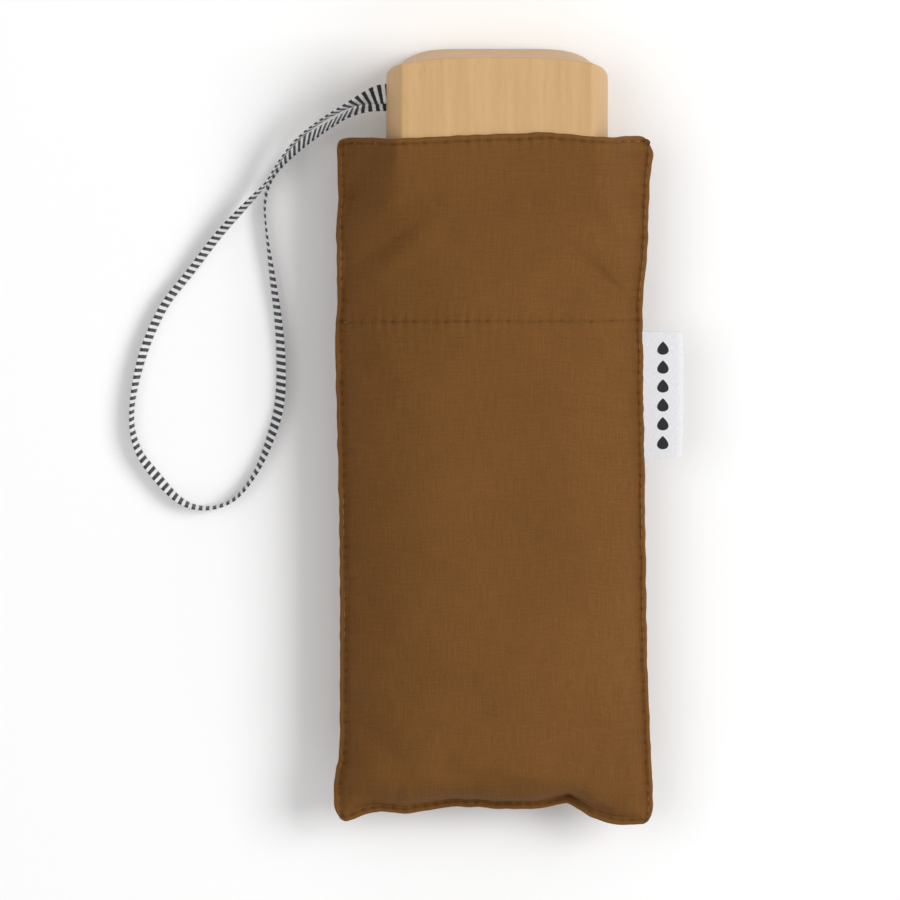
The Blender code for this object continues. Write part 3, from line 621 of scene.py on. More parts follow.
def outline_reader(points):
    """A smooth outline that wavers slightly, as a function of the share of its length."""
    even, total = read_smoothly([(x * MM, y * MM, 0.0) for x, y in points], 0.5 * MM)

    def read(share):
        spot = min(max(share, 0.0), 1.0) * (len(even) - 1)
        low = min(int(spot), len(even) - 2)
        place = Vector(even[low][:2]).lerp(Vector(even[low + 1][:2]), spot - low)
        waver = noise.noise_vector(Vector((place.x * 330, place.y * 330, 0.0)))
        return place + Vector(waver[:2]) * EDGE_WAVER

    return read


mouth, left = outline_reader(MOUTH_EDGE), outline_reader(LEFT_EDGE)
right, bottom = outline_reader(RIGHT_EDGE), outline_reader(BOTTOM_EDGE)


def patch(u, v, rise):
    """A point of a panel's pattern: u runs left to right, v from the mouth to the bottom.

    rise lifts the middle of the mouth's edge, where the cloth has further to go over the handle.
    """
    lifted = mouth(u) + Vector((0.0, rise * math.sin(math.pi * u) ** 0.45))
    straight = lifted.lerp(bottom(u), v) + left(v).lerp(right(v), u)
    corners = mouth(0).lerp(mouth(1), u).lerp(bottom(0).lerp(bottom(1), u), v)
    return straight - corners


print("sleeve is", round((mouth(0.5).y - bottom(0.5).y) / MM, 1), "mm long")

# %% [markdown]
# The height of a panel over the seam plane has a plain part and a sewn part. The plain part is full
# over the umbrella and eases down to the seams. The sewn part is a sum of small moves of a few
# tenths of a millimetre: creases that the cloth keeps, ripples that run in from the seams, and a
# slow unevenness. Each of them is a smooth hump at a place, so they add up without a hard edge.

# %% Sleeve creases
# soft creases in mm: start (x, y), end (x, y), half width, depth; a negative depth is a raised fold
FRONT_CREASES = (
    ((-26.0, 66.0), (-28.0, 58.0), 2.6, 1.90),
    ((-27.0, 59.0), (-33.8, 49.0), 2.6, 2.20),
    ((-30.0, 64.0), (-33.5, 57.0), 2.0, -0.60),
    ((-18.0, 56.0), (-33.0, 44.0), 3.0, -0.80),
    ((-15.0, 51.0), (-34.0, 35.0), 3.4, 2.20),
    ((-19.0, 42.0), (-34.0, 29.0), 3.0, -0.60),
    ((26.5, 57.0), (31.5, 47.0), 2.6, 1.50),
    ((22.5, 49.0), (24.5, 42.0), 2.2, 0.80),
    ((18.0, 39.0), (32.5, 26.5), 2.6, 1.90),
    ((23.5, 37.0), (31.0, 29.0), 0.8, -0.45),
    ((31.5, 42.0), (32.5, 29.0), 1.2, 0.55),
    ((-33.5, 18.0), (-23.0, 4.0), 4.0, 0.90),
    ((31.0, -2.0), (19.0, -14.0), 4.5, 0.45),
    ((-33.5, -34.0), (-24.0, -50.0), 4.2, 0.90),
    ((-34.0, -64.0), (-20.0, -79.0), 3.4, 1.00),
    ((-23.2, -87.4), (-21.8, -81.5), 0.8, 0.80),
    ((-33.0, -84.5), (-24.0, -84.0), 1.8, 0.70),
    ((-14.0, -77.5), (11.0, -83.0), 3.0, 1.00),
    ((1.0, -84.6), (17.0, -83.3), 1.1, -0.90),
    ((9.5, -84.4), (17.5, -84.2), 0.8, 2.00),
    ((15.5, -84.0), (25.5, -88.2), 0.8, 2.30),
    ((18.5, -82.5), (24.0, -70.0), 2.2, 0.70),
    ((33.6, -77.0), (29.5, -88.2), 1.0, -1.00),
    ((29.5, -72.0), (26.5, -87.0), 1.7, 1.10),
    ((33.0, -56.0), (21.0, -44.0), 4.0, 0.45),
)
BACK_CREASES = (
    ((-33.0, 56.0), (-20.0, 44.0), 3.4, 0.60),
    ((33.0, 58.0), (21.0, 47.0), 3.4, 0.60),
    ((32.0, 34.0), (20.0, 22.0), 3.4, 0.45),
    ((-34.0, 10.0), (-22.0, -4.0), 4.0, 0.40),
    ((33.0, -20.0), (21.0, -34.0), 4.0, 0.40),
    ((-33.0, -56.0), (-20.0, -70.0), 3.4, 0.55),
    ((30.0, -84.0), (20.0, -70.0), 3.0, 0.60),
    ((-24.0, -86.0), (-19.0, -74.0), 2.6, 0.55),
)


def bell(distance, width):
    """A smooth hump: one at its middle, and near nothing two widths away."""
    return math.exp(-((distance / width) ** 2))


def crease_depth(x, y, creases):
    """How far the creases push the cloth in at a place, in metres."""
    total = 0.0
    x, y = x / MM, y / MM
    for (x0, y0), (x1, y1), width, depth in creases:
        run_x, run_y = x1 - x0, y1 - y0
        share = ((x - x0) * run_x + (y - y0) * run_y) / (run_x**2 + run_y**2)
        share = min(max(share, 0.0), 1.0)
        away = math.hypot(x - x0 - run_x * share, y - y0 - run_y * share)
        if away < 3 * width:
            total += depth * math.sin(math.pi * (0.12 + 0.76 * share)) * bell(away, width)
    return total * MM


print("creases", len(FRONT_CREASES), "and", len(BACK_CREASES))

# %% [markdown]
# The stitching matters most for the look of sewn cloth. The sleeve was sewn inside out and turned,
# so each edge is a fold with a round rim. A line of topstitching runs 1.3 mm inside it. The thread
# pulls a shallow groove, deepest where the needle went through, and puffs up the cloth between.

# %% Sleeve height
STITCH_INSET = 1.32 * MM
STITCH = 2.35 * MM  # from one needle hole to the next
RIM_HEIGHT = 0.86 * MM
REST_HEIGHT = AXIS_Z - 0.04 * MM  # the back panel is pressed flat on the table


def rolled(distance, reach):
    """The side of a folded edge: a quarter circle and then level, from 0 to 1."""
    return math.sqrt(1 - (1 - min(distance / reach, 1.0)) ** 2)


def hole_share(along):
    """One at a needle hole and near nothing between two holes."""
    return max(0.0, math.cos(2 * math.pi * along / STITCH)) ** 8


def stitch_relief(away, along, seed):
    """The groove, needle holes and puckers of a stitch line; away is signed, to the loose side."""
    strength = 0.7 + 0.8 * noise.noise(Vector((along * 90, seed, 0.3)))
    relief = -0.20 * bell(away, 0.42 * MM) - 0.22 * hole_share(along) * bell(away, 0.28 * MM)
    fade = math.exp(-abs(away) / (1.9 * MM))
    relief -= 0.19 * strength * math.cos(2 * math.pi * along / STITCH) * fade
    return relief * MM


def top_of_core(y):
    """Height of the front cloth along its middle: over the handle, the tie band and the canopy."""
    over_handle = 1.0 / (1.0 + math.exp(-(y - 49.0 * MM) / (4.0 * MM)))
    return (14.45 + 0.90 * over_handle + 0.45 * bell(y - 23.0 * MM, 13.0 * MM)) * MM


def eased(x, y, reach, seam_y):
    """Share of the full height, from 1 over the umbrella to 0 at the seams."""
    past_block = min(max((abs(x) - CORE_HALF) / (reach - CORE_HALF), 0.0), 1.0)
    over_block = (1 - past_block**2.1) ** 1.5
    over_bundle = (1 - min(abs(x) / reach, 1.0) ** 2.7) ** 0.75
    blend = 1.0 / (1.0 + math.exp(-(y - 50.0 * MM) / (3.5 * MM)))
    along = min(max((SHOULDER_Y - y) / (SHOULDER_Y - seam_y), 0.0), 1.0)
    return (over_bundle + (over_block - over_bundle) * blend) * (1 - along**2.2) ** 0.70


def hem_line(x):
    """Y of the hem's stitch line, which has further to go over the umbrella's middle."""
    return HEM_SIDE_Y + HEM_BOW * max(0.0, 1 - (abs(x) / (33.0 * MM)) ** 2.7) ** 0.75


def stitch_lines_at(place, rims):
    """Distance inside each stitch line, and distance along it, at a place on a panel."""
    x, y = place
    side_x = rims["left"][0] if x < 0 else rims["right"][0]
    from_side = abs(side_x - x)
    return {
        "side": (from_side - STITCH_INSET, y),
        "bottom": ((place - rims["bottom"]).length - STITCH_INSET, x),
        "mouth": ((place - rims["mouth"]).length - STITCH_INSET, x),
        "hem": (y - hem_line(x), x),
    }


def panel_height(place, rims, creases, core, seed):
    """Height of a panel's outer face over the seam plane, from its place and its rims' places."""
    x, y = place
    lines = stitch_lines_at(place, rims)
    from_side, from_bottom, from_mouth = (lines[k][0] + STITCH_INSET for k in ("side", "bottom", "mouth"))
    side_x = rims["left"][0] if x < 0 else rims["right"][0]
    from_rim = min(from_side, from_bottom)
    height = RIM_HEIGHT * rolled(from_rim, 0.6 * MM)
    seam_y = rims["bottom"][1] + SEAM_INSET
    height += (core - RIM_HEIGHT) * eased(x, y, abs(side_x) - SEAM_INSET, seam_y)

    freedom = min(max((from_rim - 1.5 * MM) / (1.1 * MM), 0.0), 1.0)
    height -= crease_depth(x, y, creases) * freedom
    height += 0.34 * MM * noise.noise(Vector((x * 55, y * 38, seed))) * freedom
    loose = min(max((from_rim - 1.0 * MM) / (1.5 * MM), 0.0), 1.0)
    level = noise.noise(Vector((x * 40, y * 190, seed + 3.0)))
    height += 0.50 * MM * level * loose * math.exp(-max(from_side - 2.0 * MM, 0.0) / (3.0 * MM))
    upright = noise.noise(Vector((x * 190, y * 40, seed + 7.0)))
    near_bottom = math.exp(-max(from_bottom - 2.0 * MM, 0.0) / (3.2 * MM)) * loose
    near_mouth = 0.7 * math.exp(-from_mouth / (3.5 * MM)) + 0.5 * bell(lines["hem"][0], 3.0 * MM)
    height += 0.45 * MM * upright * (near_bottom + near_mouth * freedom)

    for number, (key, (away, along)) in enumerate(lines.items()):
        share = min(from_side / (3.0 * MM), 1.0) if key == "hem" else 1.0
        height += stitch_relief(away, along, seed + 11.0 * number) * share
    height -= 0.55 * MM * (1 - rolled(from_mouth, 0.55 * MM)) * min(freedom + 0.15, 1.0)
    return max(height, 0.06 * MM)


def needle_shade(place, rims):
    """How much painted shade the stitch grooves and needle holes put on the cloth at a place, from 0 to 1."""
    shade = 0.0
    for away, along in stitch_lines_at(place, rims).values():
        shade += bell(away, 0.26 * MM) * (0.45 + 0.55 * hole_share(along))
    return min(shade, 1.0)


print("rim", RIM_HEIGHT / MM, "mm, stitches of", STITCH / MM, "mm")

# %% [markdown]
# The grid's lines stand close together near the edges, where the rim and the stitching are small,
# and half a millimetre apart elsewhere. The cloth gets its thickness from a Solidify modifier. The
# hem is two layers, so it is twice as thick there, which a vertex group tells the modifier.

# %% Sleeve panels
NEAR_EDGE = (0.0, 0.05, 0.16, 0.34, 0.6, 0.85, 1.05, 1.2, 1.32, 1.44, 1.6, 1.85, 2.2, 2.6, 3.1)
CLOTH_THICK = 0.34 * MM
FRONT_RISE = 1.2 * MM
BACK_RISE = -1.7 * MM


def grid_lines(length, pitch):
    """Shares along a length: close together near both ends, and even between them."""
    near = [step * MM for step in NEAR_EDGE]
    count = round((length - 2 * near[-1]) / pitch)
    inner = [near[-1] + (length - 2 * near[-1]) * k / count for k in range(1, count)]
    places = near + inner + [length - step for step in reversed(near)]
    return [place / length for place in places]


def place_and_rims(u, v, side):
    """A point of the pattern, and the points of its four edges that lie across from it."""
    rise = FRONT_RISE if side > 0 else BACK_RISE
    rims = {"left": left(v), "right": right(v), "bottom": bottom(u), "mouth": patch(u, 0.0, rise)}
    return patch(u, v, rise), rims


def panel_surface(u, v, side, creases, core_of, seed):
    """A point of a panel's outer face; side is 1 for the front and -1 for the back."""
    place, rims = place_and_rims(u, v, side)
    height = panel_height(place, rims, creases, core_of(place[1]), seed)
    if side < 0:
        height = min(height, REST_HEIGHT)
    return Vector((place[0], place[1], AXIS_Z + side * height))


def front_point(u, v):
    return panel_surface(u, v, 1, FRONT_CREASES, top_of_core, 1.0)


def back_point(u, v):
    return panel_surface(u, v, -1, BACK_CREASES, lambda y: 15.9 * MM, 40.0)


def sew_panel(name, point_at, pitch, side):
    """Lays a panel's grid, keeps its pattern as UVs in millimetres, and gives it thickness."""
    width, length = 71.0 * MM, 153.0 * MM
    across, down = grid_lines(width, pitch), grid_lines(length, pitch)
    rows = [[point_at(u, v) for u in across] for v in down]
    if side < 0:
        rows = [row[::-1] for row in rows]
    piece = from_grid(name, rows[::-1])
    hem = piece.vertex_groups.new(name="hem")
    columns = len(across)
    shares, shades, edges = [], [], []
    for vertex in piece.data.vertices:
        row, column = divmod(vertex.index, columns)
        column = columns - 1 - column if side < 0 else column
        shares.append((across[column], down[len(down) - 1 - row]))
        place, rims = place_and_rims(*shares[-1], side)
        shades.append(needle_shade(place, rims))
        nearest = min((place - point).length for point in rims.values())
        edges.append(max(0.0, 1 - nearest / (1.1 * MM)))
        doubled = 1.0 if vertex.co.y > hem_line(vertex.co.x) - 0.3 * MM else 0.5
        hem.add([vertex.index], doubled, "REPLACE")
    # painted shade: the stitch grooves and needle holes darken the cloth's colour
    piece.data.attributes.new("painted_stitch_shade", "FLOAT", "POINT").data.foreach_set("value", shades)
    # how near each point lies to a folded rim, where the cloth is painted paler
    piece.data.attributes.new("rim", "FLOAT", "POINT").data.foreach_set("value", edges)
    spots = []
    for loop in piece.data.loops:
        u, v = shares[loop.vertex_index]
        spots += [u * width / MM, v * length / MM]
    piece.data.uv_layers.new(name="cloth").data.foreach_set("uv", spots)
    modify(piece, "SOLIDIFY", thickness=2 * CLOTH_THICK, offset=-1.0, vertex_group="hem",
           use_even_offset=False, use_rim=True)
    smooth(piece, 60.0)
    return piece


sleeve_front = sew_panel("sleeve_front_cloth", front_point, 0.52 * MM, 1)
sleeve_back = sew_panel("sleeve_back_cloth", back_point, 0.62 * MM, -1)
for piece in (sleeve_front, sleeve_back):
    centre = sum((f.normal.z * f.area for f in piece.data.polygons), 0.0)
    print(piece.name, len(piece.data.polygons), "faces, lean", round(centre * 1e6, 1))

# %% [markdown]
# The sleeve is cut from the same brown pongee as the canopy: a plain weave, fine and dense, and
# nearly matt. Close up it shows crossing threads of uneven thickness. Two stretched noises make
# the uneven threads, one for each direction, and two fine waves make the weave itself. The pattern
# reads the UV map, which is in millimetres of cloth, so it bends with the panels.

# %% Pongee
def pongee_finish(name, light, dark, uv_map="cloth", thread=0.30):
    """A plain-woven cloth; light and dark are its two tones, thread its pitch in millimetres."""
    made = plain_material(name, light, 0.72)
    tree = made.node_tree
    spot = node(tree, "ShaderNodeUVMap", uv_map=uv_map).outputs["UV"]

    def scaled(x, y):
        values = {"Vector": spot, "Scale": (x, y, 1.0)}
        return node(tree, "ShaderNodeMapping", values).outputs["Vector"]

    warp = noise_texture(tree, scaled(3.4, 0.16), 1.0, 3.0, 0.6)
    weft = noise_texture(tree, scaled(0.16, 3.0), 1.0, 3.0, 0.6)
    grain = noise_texture(tree, scaled(2.2, 2.2), 1.0, 3.0, 0.6)
    clouds = noise_texture(tree, scaled(0.05, 0.04), 1.0, 3.0)
    tone = math_node(tree, "MULTIPLY", warp, 0.30)
    tone = math_node(tree, "MULTIPLY_ADD", weft, 0.22, tone)
    tone = math_node(tree, "MULTIPLY_ADD", grain, 0.28, tone)
    tone = math_node(tree, "MULTIPLY_ADD", clouds, 0.20, tone)
    cloth = ramp(tree, tone, ((0.41, dark), (0.58, light)))
    holes = node(tree, "ShaderNodeAttribute", attribute_name="painted_stitch_shade").outputs["Fac"]
    rims = node(tree, "ShaderNodeAttribute", attribute_name="rim").outputs["Fac"]
    # the cloth is painted paler, patchily, along the rims of the folded edges
    paler_rim_share = math_node(tree, "MULTIPLY", rims, math_node(tree, "MULTIPLY_ADD", grain, 0.9, 0.0))
    paler = tuple(value * 1.12 for value in light)
    cloth = mixed_colour(tree, cloth, paler, paler_rim_share)
    # painted shade: the cloth is darkened in the stitch grooves and needle holes
    hole_shade_colour = tuple(value * 0.22 for value in dark)
    cloth = mixed_colour(tree, cloth, hole_shade_colour, math_node(tree, "MULTIPLY", holes, 0.50))
    connect(tree, cloth, "Base Color")
    apart = node(tree, "ShaderNodeSeparateXYZ", {"Vector": spot})
    rate = 2 * math.pi / thread
    across = math_node(tree, "SINE", math_node(tree, "MULTIPLY", apart.outputs["X"], rate))
    along = math_node(tree, "SINE", math_node(tree, "MULTIPLY", apart.outputs["Y"], rate))
    weave = math_node(tree, "MULTIPLY", across, along)
    height = math_node(tree, "MULTIPLY_ADD", weave, 0.22, tone)
    bump(tree, height, 0.10 * MM, 0.55)
    shader = tree.nodes["Principled BSDF"]
    shader.inputs["Specular IOR Level"].default_value = 0.05
    return made


SLEEVE_LIGHT = (0.186, 0.0810, 0.0225)
SLEEVE_DARK = (0.142, 0.0615, 0.0165)
sleeve_pongee = pongee_finish("brown_pongee", SLEEVE_LIGHT, SLEEVE_DARK)
for piece, part in ((sleeve_front, "sleeve_front"), (sleeve_back, "sleeve_back")):
    piece.data.materials.append(sleeve_pongee)
    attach(piece, "sleeve")
    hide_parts(part)
print("pongee on both panels")

# %% [markdown]
# Now the thread of the topstitching. One stitch is a short soft-ended roll of thread. It is made
# once, and copied to every place between two needle holes along the sides, the bottom, the mouth
# and the hem line.

# %% One stitch
THREAD_RADIUS = 0.17 * MM
THREAD_RISE = 0.17 * MM  # of a stitch's middle line over the cloth

stitch_model = fresh("stitch_model", bpy.ops.mesh.primitive_uv_sphere_add, segments=8,
                     ring_count=6, radius=THREAD_RADIUS, rotation=(0.0, math.pi / 2, 0.0))
bake_place(stitch_model)
activate(stitch_model)
bpy.ops.object.mode_set(mode="EDIT")
bpy.ops.mesh.select_all(action="SELECT")
bpy.ops.transform.resize(value=(0.40 * STITCH / THREAD_RADIUS, 1.0, 0.85))
leave_edit()
for vertex in stitch_model.data.vertices:
    vertex.co.z -= 0.14 * MM * (vertex.co.x / (0.4 * STITCH)) ** 2  # the ends dive into the cloth
print("a stitch has", len(stitch_model.data.polygons), "faces")


# %% Stitch lines
def needle_holes(path, axis):
    """Places on a dense path where one coordinate, or the way along, passes a whole stitch."""
    holes = []
    walked = 0.0
    for one, other in zip(path, path[1:]):
        a, b = walked / STITCH, (walked + (other - one).length) / STITCH
        walked += (other - one).length
        if axis is not None:
            a, b = one[axis] / STITCH, other[axis] / STITCH
        if math.floor(a) != math.floor(b):
            share = (max(math.floor(a), math.floor(b)) - a) / (b - a)
            holes.append(one.lerp(other, share))
    return holes


def stitch_places(path, axis, way_out):
    """The middle and the frame of every stitch on a path; without a way out, away from the shaft."""
    holes = needle_holes(path, axis)
    for one, other in zip(holes, holes[1:]):
        along = (other - one).normalized()
        outward = way_out or Vector((one.x, 0.0, one.z - AXIS_Z)).normalized()
        up = (outward - along * outward.dot(along)).normalized()
        aside = up.cross(along)
        turn = Matrix((along, aside, up)).transposed().to_4x4()
        middle = (one + other) / 2 + up * THREAD_RISE
        middle.z = max(middle.z, THREAD_RADIUS)  # the thread lies on the table, not in it
        yield Matrix.Translation(middle) @ turn


def sew(name, lines, finish, body):
    """Copies the stitch to all places on some lines and joins the copies."""
    mesh = bpy.data.meshes.new(name)
    joined = bmesh.new()
    for path, axis, outward in lines:
        for place in stitch_places(path, axis, outward):
            start = len(joined.verts)
            joined.from_mesh(stitch_model.data)
            joined.verts.ensure_lookup_table()
            for vertex in joined.verts[start:]:
                vertex.co = place @ vertex.co
    joined.to_mesh(mesh)
    joined.free()
    mesh.materials.append(finish)
    piece = bpy.data.objects.new(name, mesh)
    bpy.context.collection.objects.link(piece)
    smooth(piece, 80.0)
    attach(piece, body)
    return piece


def hem_share(u, rise):
    """The share v at which a column of the pattern crosses the hem line."""
    low, high = 0.0, 1.0
    for _ in range(14):
        middle = (low + high) / 2
        x, y = patch(u, middle, rise)
        low, high = (middle, high) if y > hem_line(x) else (low, middle)
    return low


def panel_stitch_lines(point_at, outward):
    """The five stitch lines of a panel, as dense paths on its outer face."""
    rise = FRONT_RISE if outward.z > 0 else BACK_RISE
    inset_u, inset_v = STITCH_INSET / (70.0 * MM), STITCH_INSET / (154.0 * MM)
    steps = [k / 1400 for k in range(1401)]
    hem_v = [hem_share(u, rise) for u in steps]
    inside = [u for u in steps if inset_u < u < 1 - inset_u]
    down = [v for v in steps if v < 1 - inset_v]
    return (
        ([point_at(inset_u, v) for v in down], 1, (outward + Vector((-0.5, 0, 0)))),
        ([point_at(1 - inset_u, v) for v in down], 1, (outward + Vector((0.5, 0, 0)))),
        ([point_at(u, 1 - inset_v) for u in inside], 0, (outward + Vector((0, -0.5, 0)))),
        ([point_at(u, inset_v) for u in inside], 0, outward),
        ([point_at(u, v) for u, v in zip(steps, hem_v) if inset_u < u < 1 - inset_u], 0, outward),
    )


def thread_finish(name, colour):
    """Twisted sewing thread."""
    made = plain_material(name, colour, 0.6)
    tree = made.node_tree
    strands = noise_texture(tree, stretched(tree, (1.0, 1.0, 1.0)), 5200.0, 2.0)
    dark = tuple(value * 0.55 for value in colour)
    connect(tree, ramp(tree, strands, ((0.40, dark), (0.60, colour))), "Base Color")
    bump(tree, strands, 0.05 * MM, 0.8)
    tree.nodes["Principled BSDF"].inputs["Specular IOR Level"].default_value = 0.1
    return made


brown_thread = thread_finish("brown_thread", (0.310, 0.150, 0.052))
up = Vector((0.0, 0.0, 1.0))
front_stitches = sew("sleeve_front_topstitch", panel_stitch_lines(front_point, up), brown_thread,
                     "sleeve")
back_stitches = sew("sleeve_back_topstitch", panel_stitch_lines(back_point, -up), brown_thread,
                    "sleeve")
print("topstitching", len(front_stitches.data.polygons) + len(back_stitches.data.polygons), "faces")

# %% [markdown]
# ## The label
# A white satin label is folded in half and caught in the right-hand seam. It stands out straight
# with its fold outward, and its two halves part a little at the ends. Its section is swept along
# the seam: two layers of ribbon joined by a round fold. A woven column of raindrops decorates it.

# %% Label mesh
label_low, label_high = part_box("sleeve_label")
LABEL_ROOT_X = 32.7 * MM  # inside the seam, just past the stitches
LABEL_FOLD_X = 42.3 * MM
LABEL_LAYER = 0.24 * MM


def label_section(share):
    """Points round the label's section at a share of its length, from 0 at the bottom to 1."""
    fold = LABEL_FOLD_X - 0.55 * MM * (1 - share) ** 6 - 0.35 * MM * share**10
    width = fold - LABEL_ROOT_X
    for outer in (True, False):
        half = (0.36 if outer else 0.36 - LABEL_LAYER / MM) * MM
        steps = range(25) if outer else range(24, -1, -1)
        for k in steps:
            t = k / 24 * 2 - 1  # -1 at the upper root, 0 at the fold, 1 at the lower root
            reach = 1 - abs(t)
            part = 0.55 * MM * math.sin(math.pi * abs(t)) * (1 - share) ** 3
            round_fold = math.sqrt(1 - max(0.0, 1 - abs(t) * width / (0.36 * MM)) ** 2)
            height = half * round_fold + part * 0.5
            lift = 0.5 * MM * math.sin(1.3 * share + reach * 2.2) * reach
            pull = 0.0 if outer else LABEL_LAYER * (1 - min(abs(t) * width / (0.5 * MM), 1.0))
            x = LABEL_ROOT_X + width * reach - pull
            yield x, AXIS_Z + math.copysign(height, -t) + lift


def make_label():
    """The folded label, with its woven face as a UV map in millimetres."""
    count = 90
    rows = []
    for k in range(count + 1):
        share = k / count
        y = label_low[1] + (label_high[1] - label_low[1]) * share
        row = []
        for x, z in label_section(share):
            skew = 0.6 * MM * ((x - LABEL_ROOT_X) / (LABEL_FOLD_X - LABEL_ROOT_X)) ** 2
            row.append((x, y + skew * (1 - share) ** 4 - 0.15 * MM * share**8, z))
        rows.append(row)
    piece = from_grid("label_ribbon", rows, closed_rows=True)
    activate(piece)
    bpy.ops.object.mode_set(mode="EDIT")
    bpy.ops.mesh.select_mode(type="EDGE")
    bpy.ops.mesh.select_all(action="DESELECT")
    bpy.ops.mesh.select_non_manifold()
    bpy.ops.mesh.fill_holes(sides=0)
    bpy.ops.mesh.select_all(action="SELECT")
    bpy.ops.mesh.normals_make_consistent(inside=False)
    leave_edit()
    uv = piece.data.uv_layers.new(name="cloth")
    for loop in piece.data.loops:
        spot = piece.data.vertices[loop.vertex_index].co
        uv.data[loop.index].uv = ((spot.x - LABEL_ROOT_X) / MM, (spot.y - label_low[1]) / MM)
    smooth(piece, 50.0)
    return piece


label = make_label()
print("label faces", len(label.data.polygons))

# %% [markdown]
# The raindrops are drawn with a formula. Each sits in its own stretch of the ribbon, and within it
# a place is black when it is nearer the middle line than a drop's half width there. That width
# starts round at the bottom and runs out to a point at the top.

# %% Label material
DROP_PITCH = 4.3  # mm from one drop to the next
DROP_LENGTH = 3.1
DROP_HALF = 1.35
DROP_MIDDLE = 4.9  # mm out from the label's root


def satin_label_finish():
    """White woven satin with a column of black raindrops."""
    made = plain_material("white_satin", (0.78, 0.78, 0.80), 0.42)
    tree = made.node_tree
    spot = node(tree, "ShaderNodeUVMap", uv_map="cloth").outputs["UV"]
    apart = node(tree, "ShaderNodeSeparateXYZ", {"Vector": spot})
    start = math_node(tree, "SUBTRACT", apart.outputs["Y"], 2.35)
    cell = math_node(tree, "MODULO", start, DROP_PITCH)
    share = math_node(tree, "DIVIDE", cell, DROP_LENGTH)
    rest = math_node(tree, "MAXIMUM", math_node(tree, "SUBTRACT", 1.0, share), 0.0)
    round_end = math_node(tree, "SQRT", math_node(tree, "MAXIMUM", share, 0.0))
    half = math_node(tree, "MULTIPLY", math_node(tree, "MULTIPLY", round_end, rest), DROP_HALF * 2.6)
    away = math_node(tree, "ABSOLUTE", math_node(tree, "SUBTRACT", apart.outputs["X"], DROP_MIDDLE))
    inside = math_node(tree, "SUBTRACT", half, away)
    in_row = math_node(tree, "MULTIPLY", math_node(tree, "GREATER_THAN", start, 0.0),
                       math_node(tree, "LESS_THAN", start, DROP_PITCH * 5.8))
    edge = node(tree, "ShaderNodeMapRange", {"Value": inside, "From Min": 0.0, "From Max": 0.10})
    drop = math_node(tree, "MULTIPLY", edge.outputs[0], in_row)
    threads = math_node(tree, "SINE", math_node(tree, "MULTIPLY", apart.outputs["Y"], 42.0))
    fuzz = noise_texture(tree, node(tree, "ShaderNodeMapping", {
        "Vector": spot, "Scale": (5.0, 1.2, 1.0)}).outputs[0], 1.0, 2.0)
    white = ramp(tree, fuzz, ((0.3, (0.70, 0.70, 0.73)), (0.7, (0.80, 0.80, 0.82))))
    connect(tree, mixed_colour(tree, white, (0.010, 0.011, 0.014), drop), "Base Color")
    height = math_node(tree, "MULTIPLY_ADD", threads, 0.3, fuzz)
    bump(tree, math_node(tree, "MULTIPLY_ADD", drop, 0.5, height), 0.05 * MM, 0.7)
    tree.nodes["Principled BSDF"].inputs["Sheen Weight"].default_value = 0.2
    tree.nodes["Principled BSDF"].inputs["Specular IOR Level"].default_value = 0.3
    return made


label.data.materials.append(satin_label_finish())
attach(label, "sleeve")
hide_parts("sleeve_label")
print("label ready")

# %% [markdown]
# ## Inside the sleeve
# With the sleeve pulled off and the shaft drawn out, the rest of the umbrella shows. Its round
# pieces are turned: half of a section is drawn beside the axis, in millimetres, and spun round it.
# The rims are broken, and slots and holes are cut last, as a mill would cut them.

# %% Turning tools
def spun(name, profile, axis="Y", centre=AXIS, closed=True, sides=96):
    """Spins an outline of (place along the axis, distance from it), in mm, into a solid."""
    along = Vector((0.0, 1.0, 0.0)) if axis == "Y" else Vector((1.0, 0.0, 0.0))
    points = [centre + (along * a + Vector((0.0, 0.0, 1.0)) * r) * MM for a, r in profile]
    last = len(points) if closed else len(points) - 1
    mesh = bpy.data.meshes.new(name)
    mesh.from_pydata(points, [(k, (k + 1) % len(points)) for k in range(last)], [])
    piece = bpy.data.objects.new(name, mesh)
    bpy.context.collection.objects.link(piece)
    activate(piece)
    bpy.ops.object.mode_set(mode="EDIT")
    bpy.ops.mesh.select_all(action="SELECT")
    bpy.ops.mesh.spin(steps=sides, angle=2 * math.pi, center=centre, axis=along)
    bpy.ops.mesh.select_all(action="SELECT")
    bpy.ops.mesh.remove_doubles(threshold=0.002 * MM)
    bpy.ops.mesh.normals_make_consistent(inside=False)
    leave_edit()
    return piece


def break_rims(piece, width):
    """Small round chamfers on every sharp rim of a turned piece."""
    return modify(piece, "BEVEL", width=width * MM, segments=3, limit_method="ANGLE",
                  angle_limit=math.radians(28.0))


def finish_piece(piece, material, body, slot, *nodes, angle=30.0):
    """Gives a piece its material and body, and hides the nodes it stands for; slot is not used."""
    piece.data.materials.clear()
    piece.data.materials.append(material)
    smooth(piece, angle)
    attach(piece, body)
    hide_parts(*nodes)
    return piece


def mill_slots(piece, low_y, high_y, floor):
    """Six slots for the rib ends, from a distance off the axis outwards."""
    for index in range(6):
        tool = box_tool((-1.25 * MM, low_y * MM, floor * MM), (1.25 * MM, high_y * MM, 12.0 * MM))
        tool.location = AXIS
        tool.rotation_euler = (0.0, math.radians(30.0 + 60.0 * index), 0.0)
        carve(piece, bake_place(tool))


def wire_groove(piece, y, ring):
    """The groove that the rib wire lies in."""
    low, high = ring - 0.45, ring + 0.45
    carve(piece, spun("tool", ((y - 0.45, low), (y - 0.45, high), (y + 0.45, high), (y + 0.45, low)),
                      sides=48))


print("turning tools ready")

# %% [markdown]
# The metals and plastics. Drawn tube shows fine lines along its length, coated steel has a slight
# orange peel, moulded plastic a faint grain, and glass fibre long pale strands.

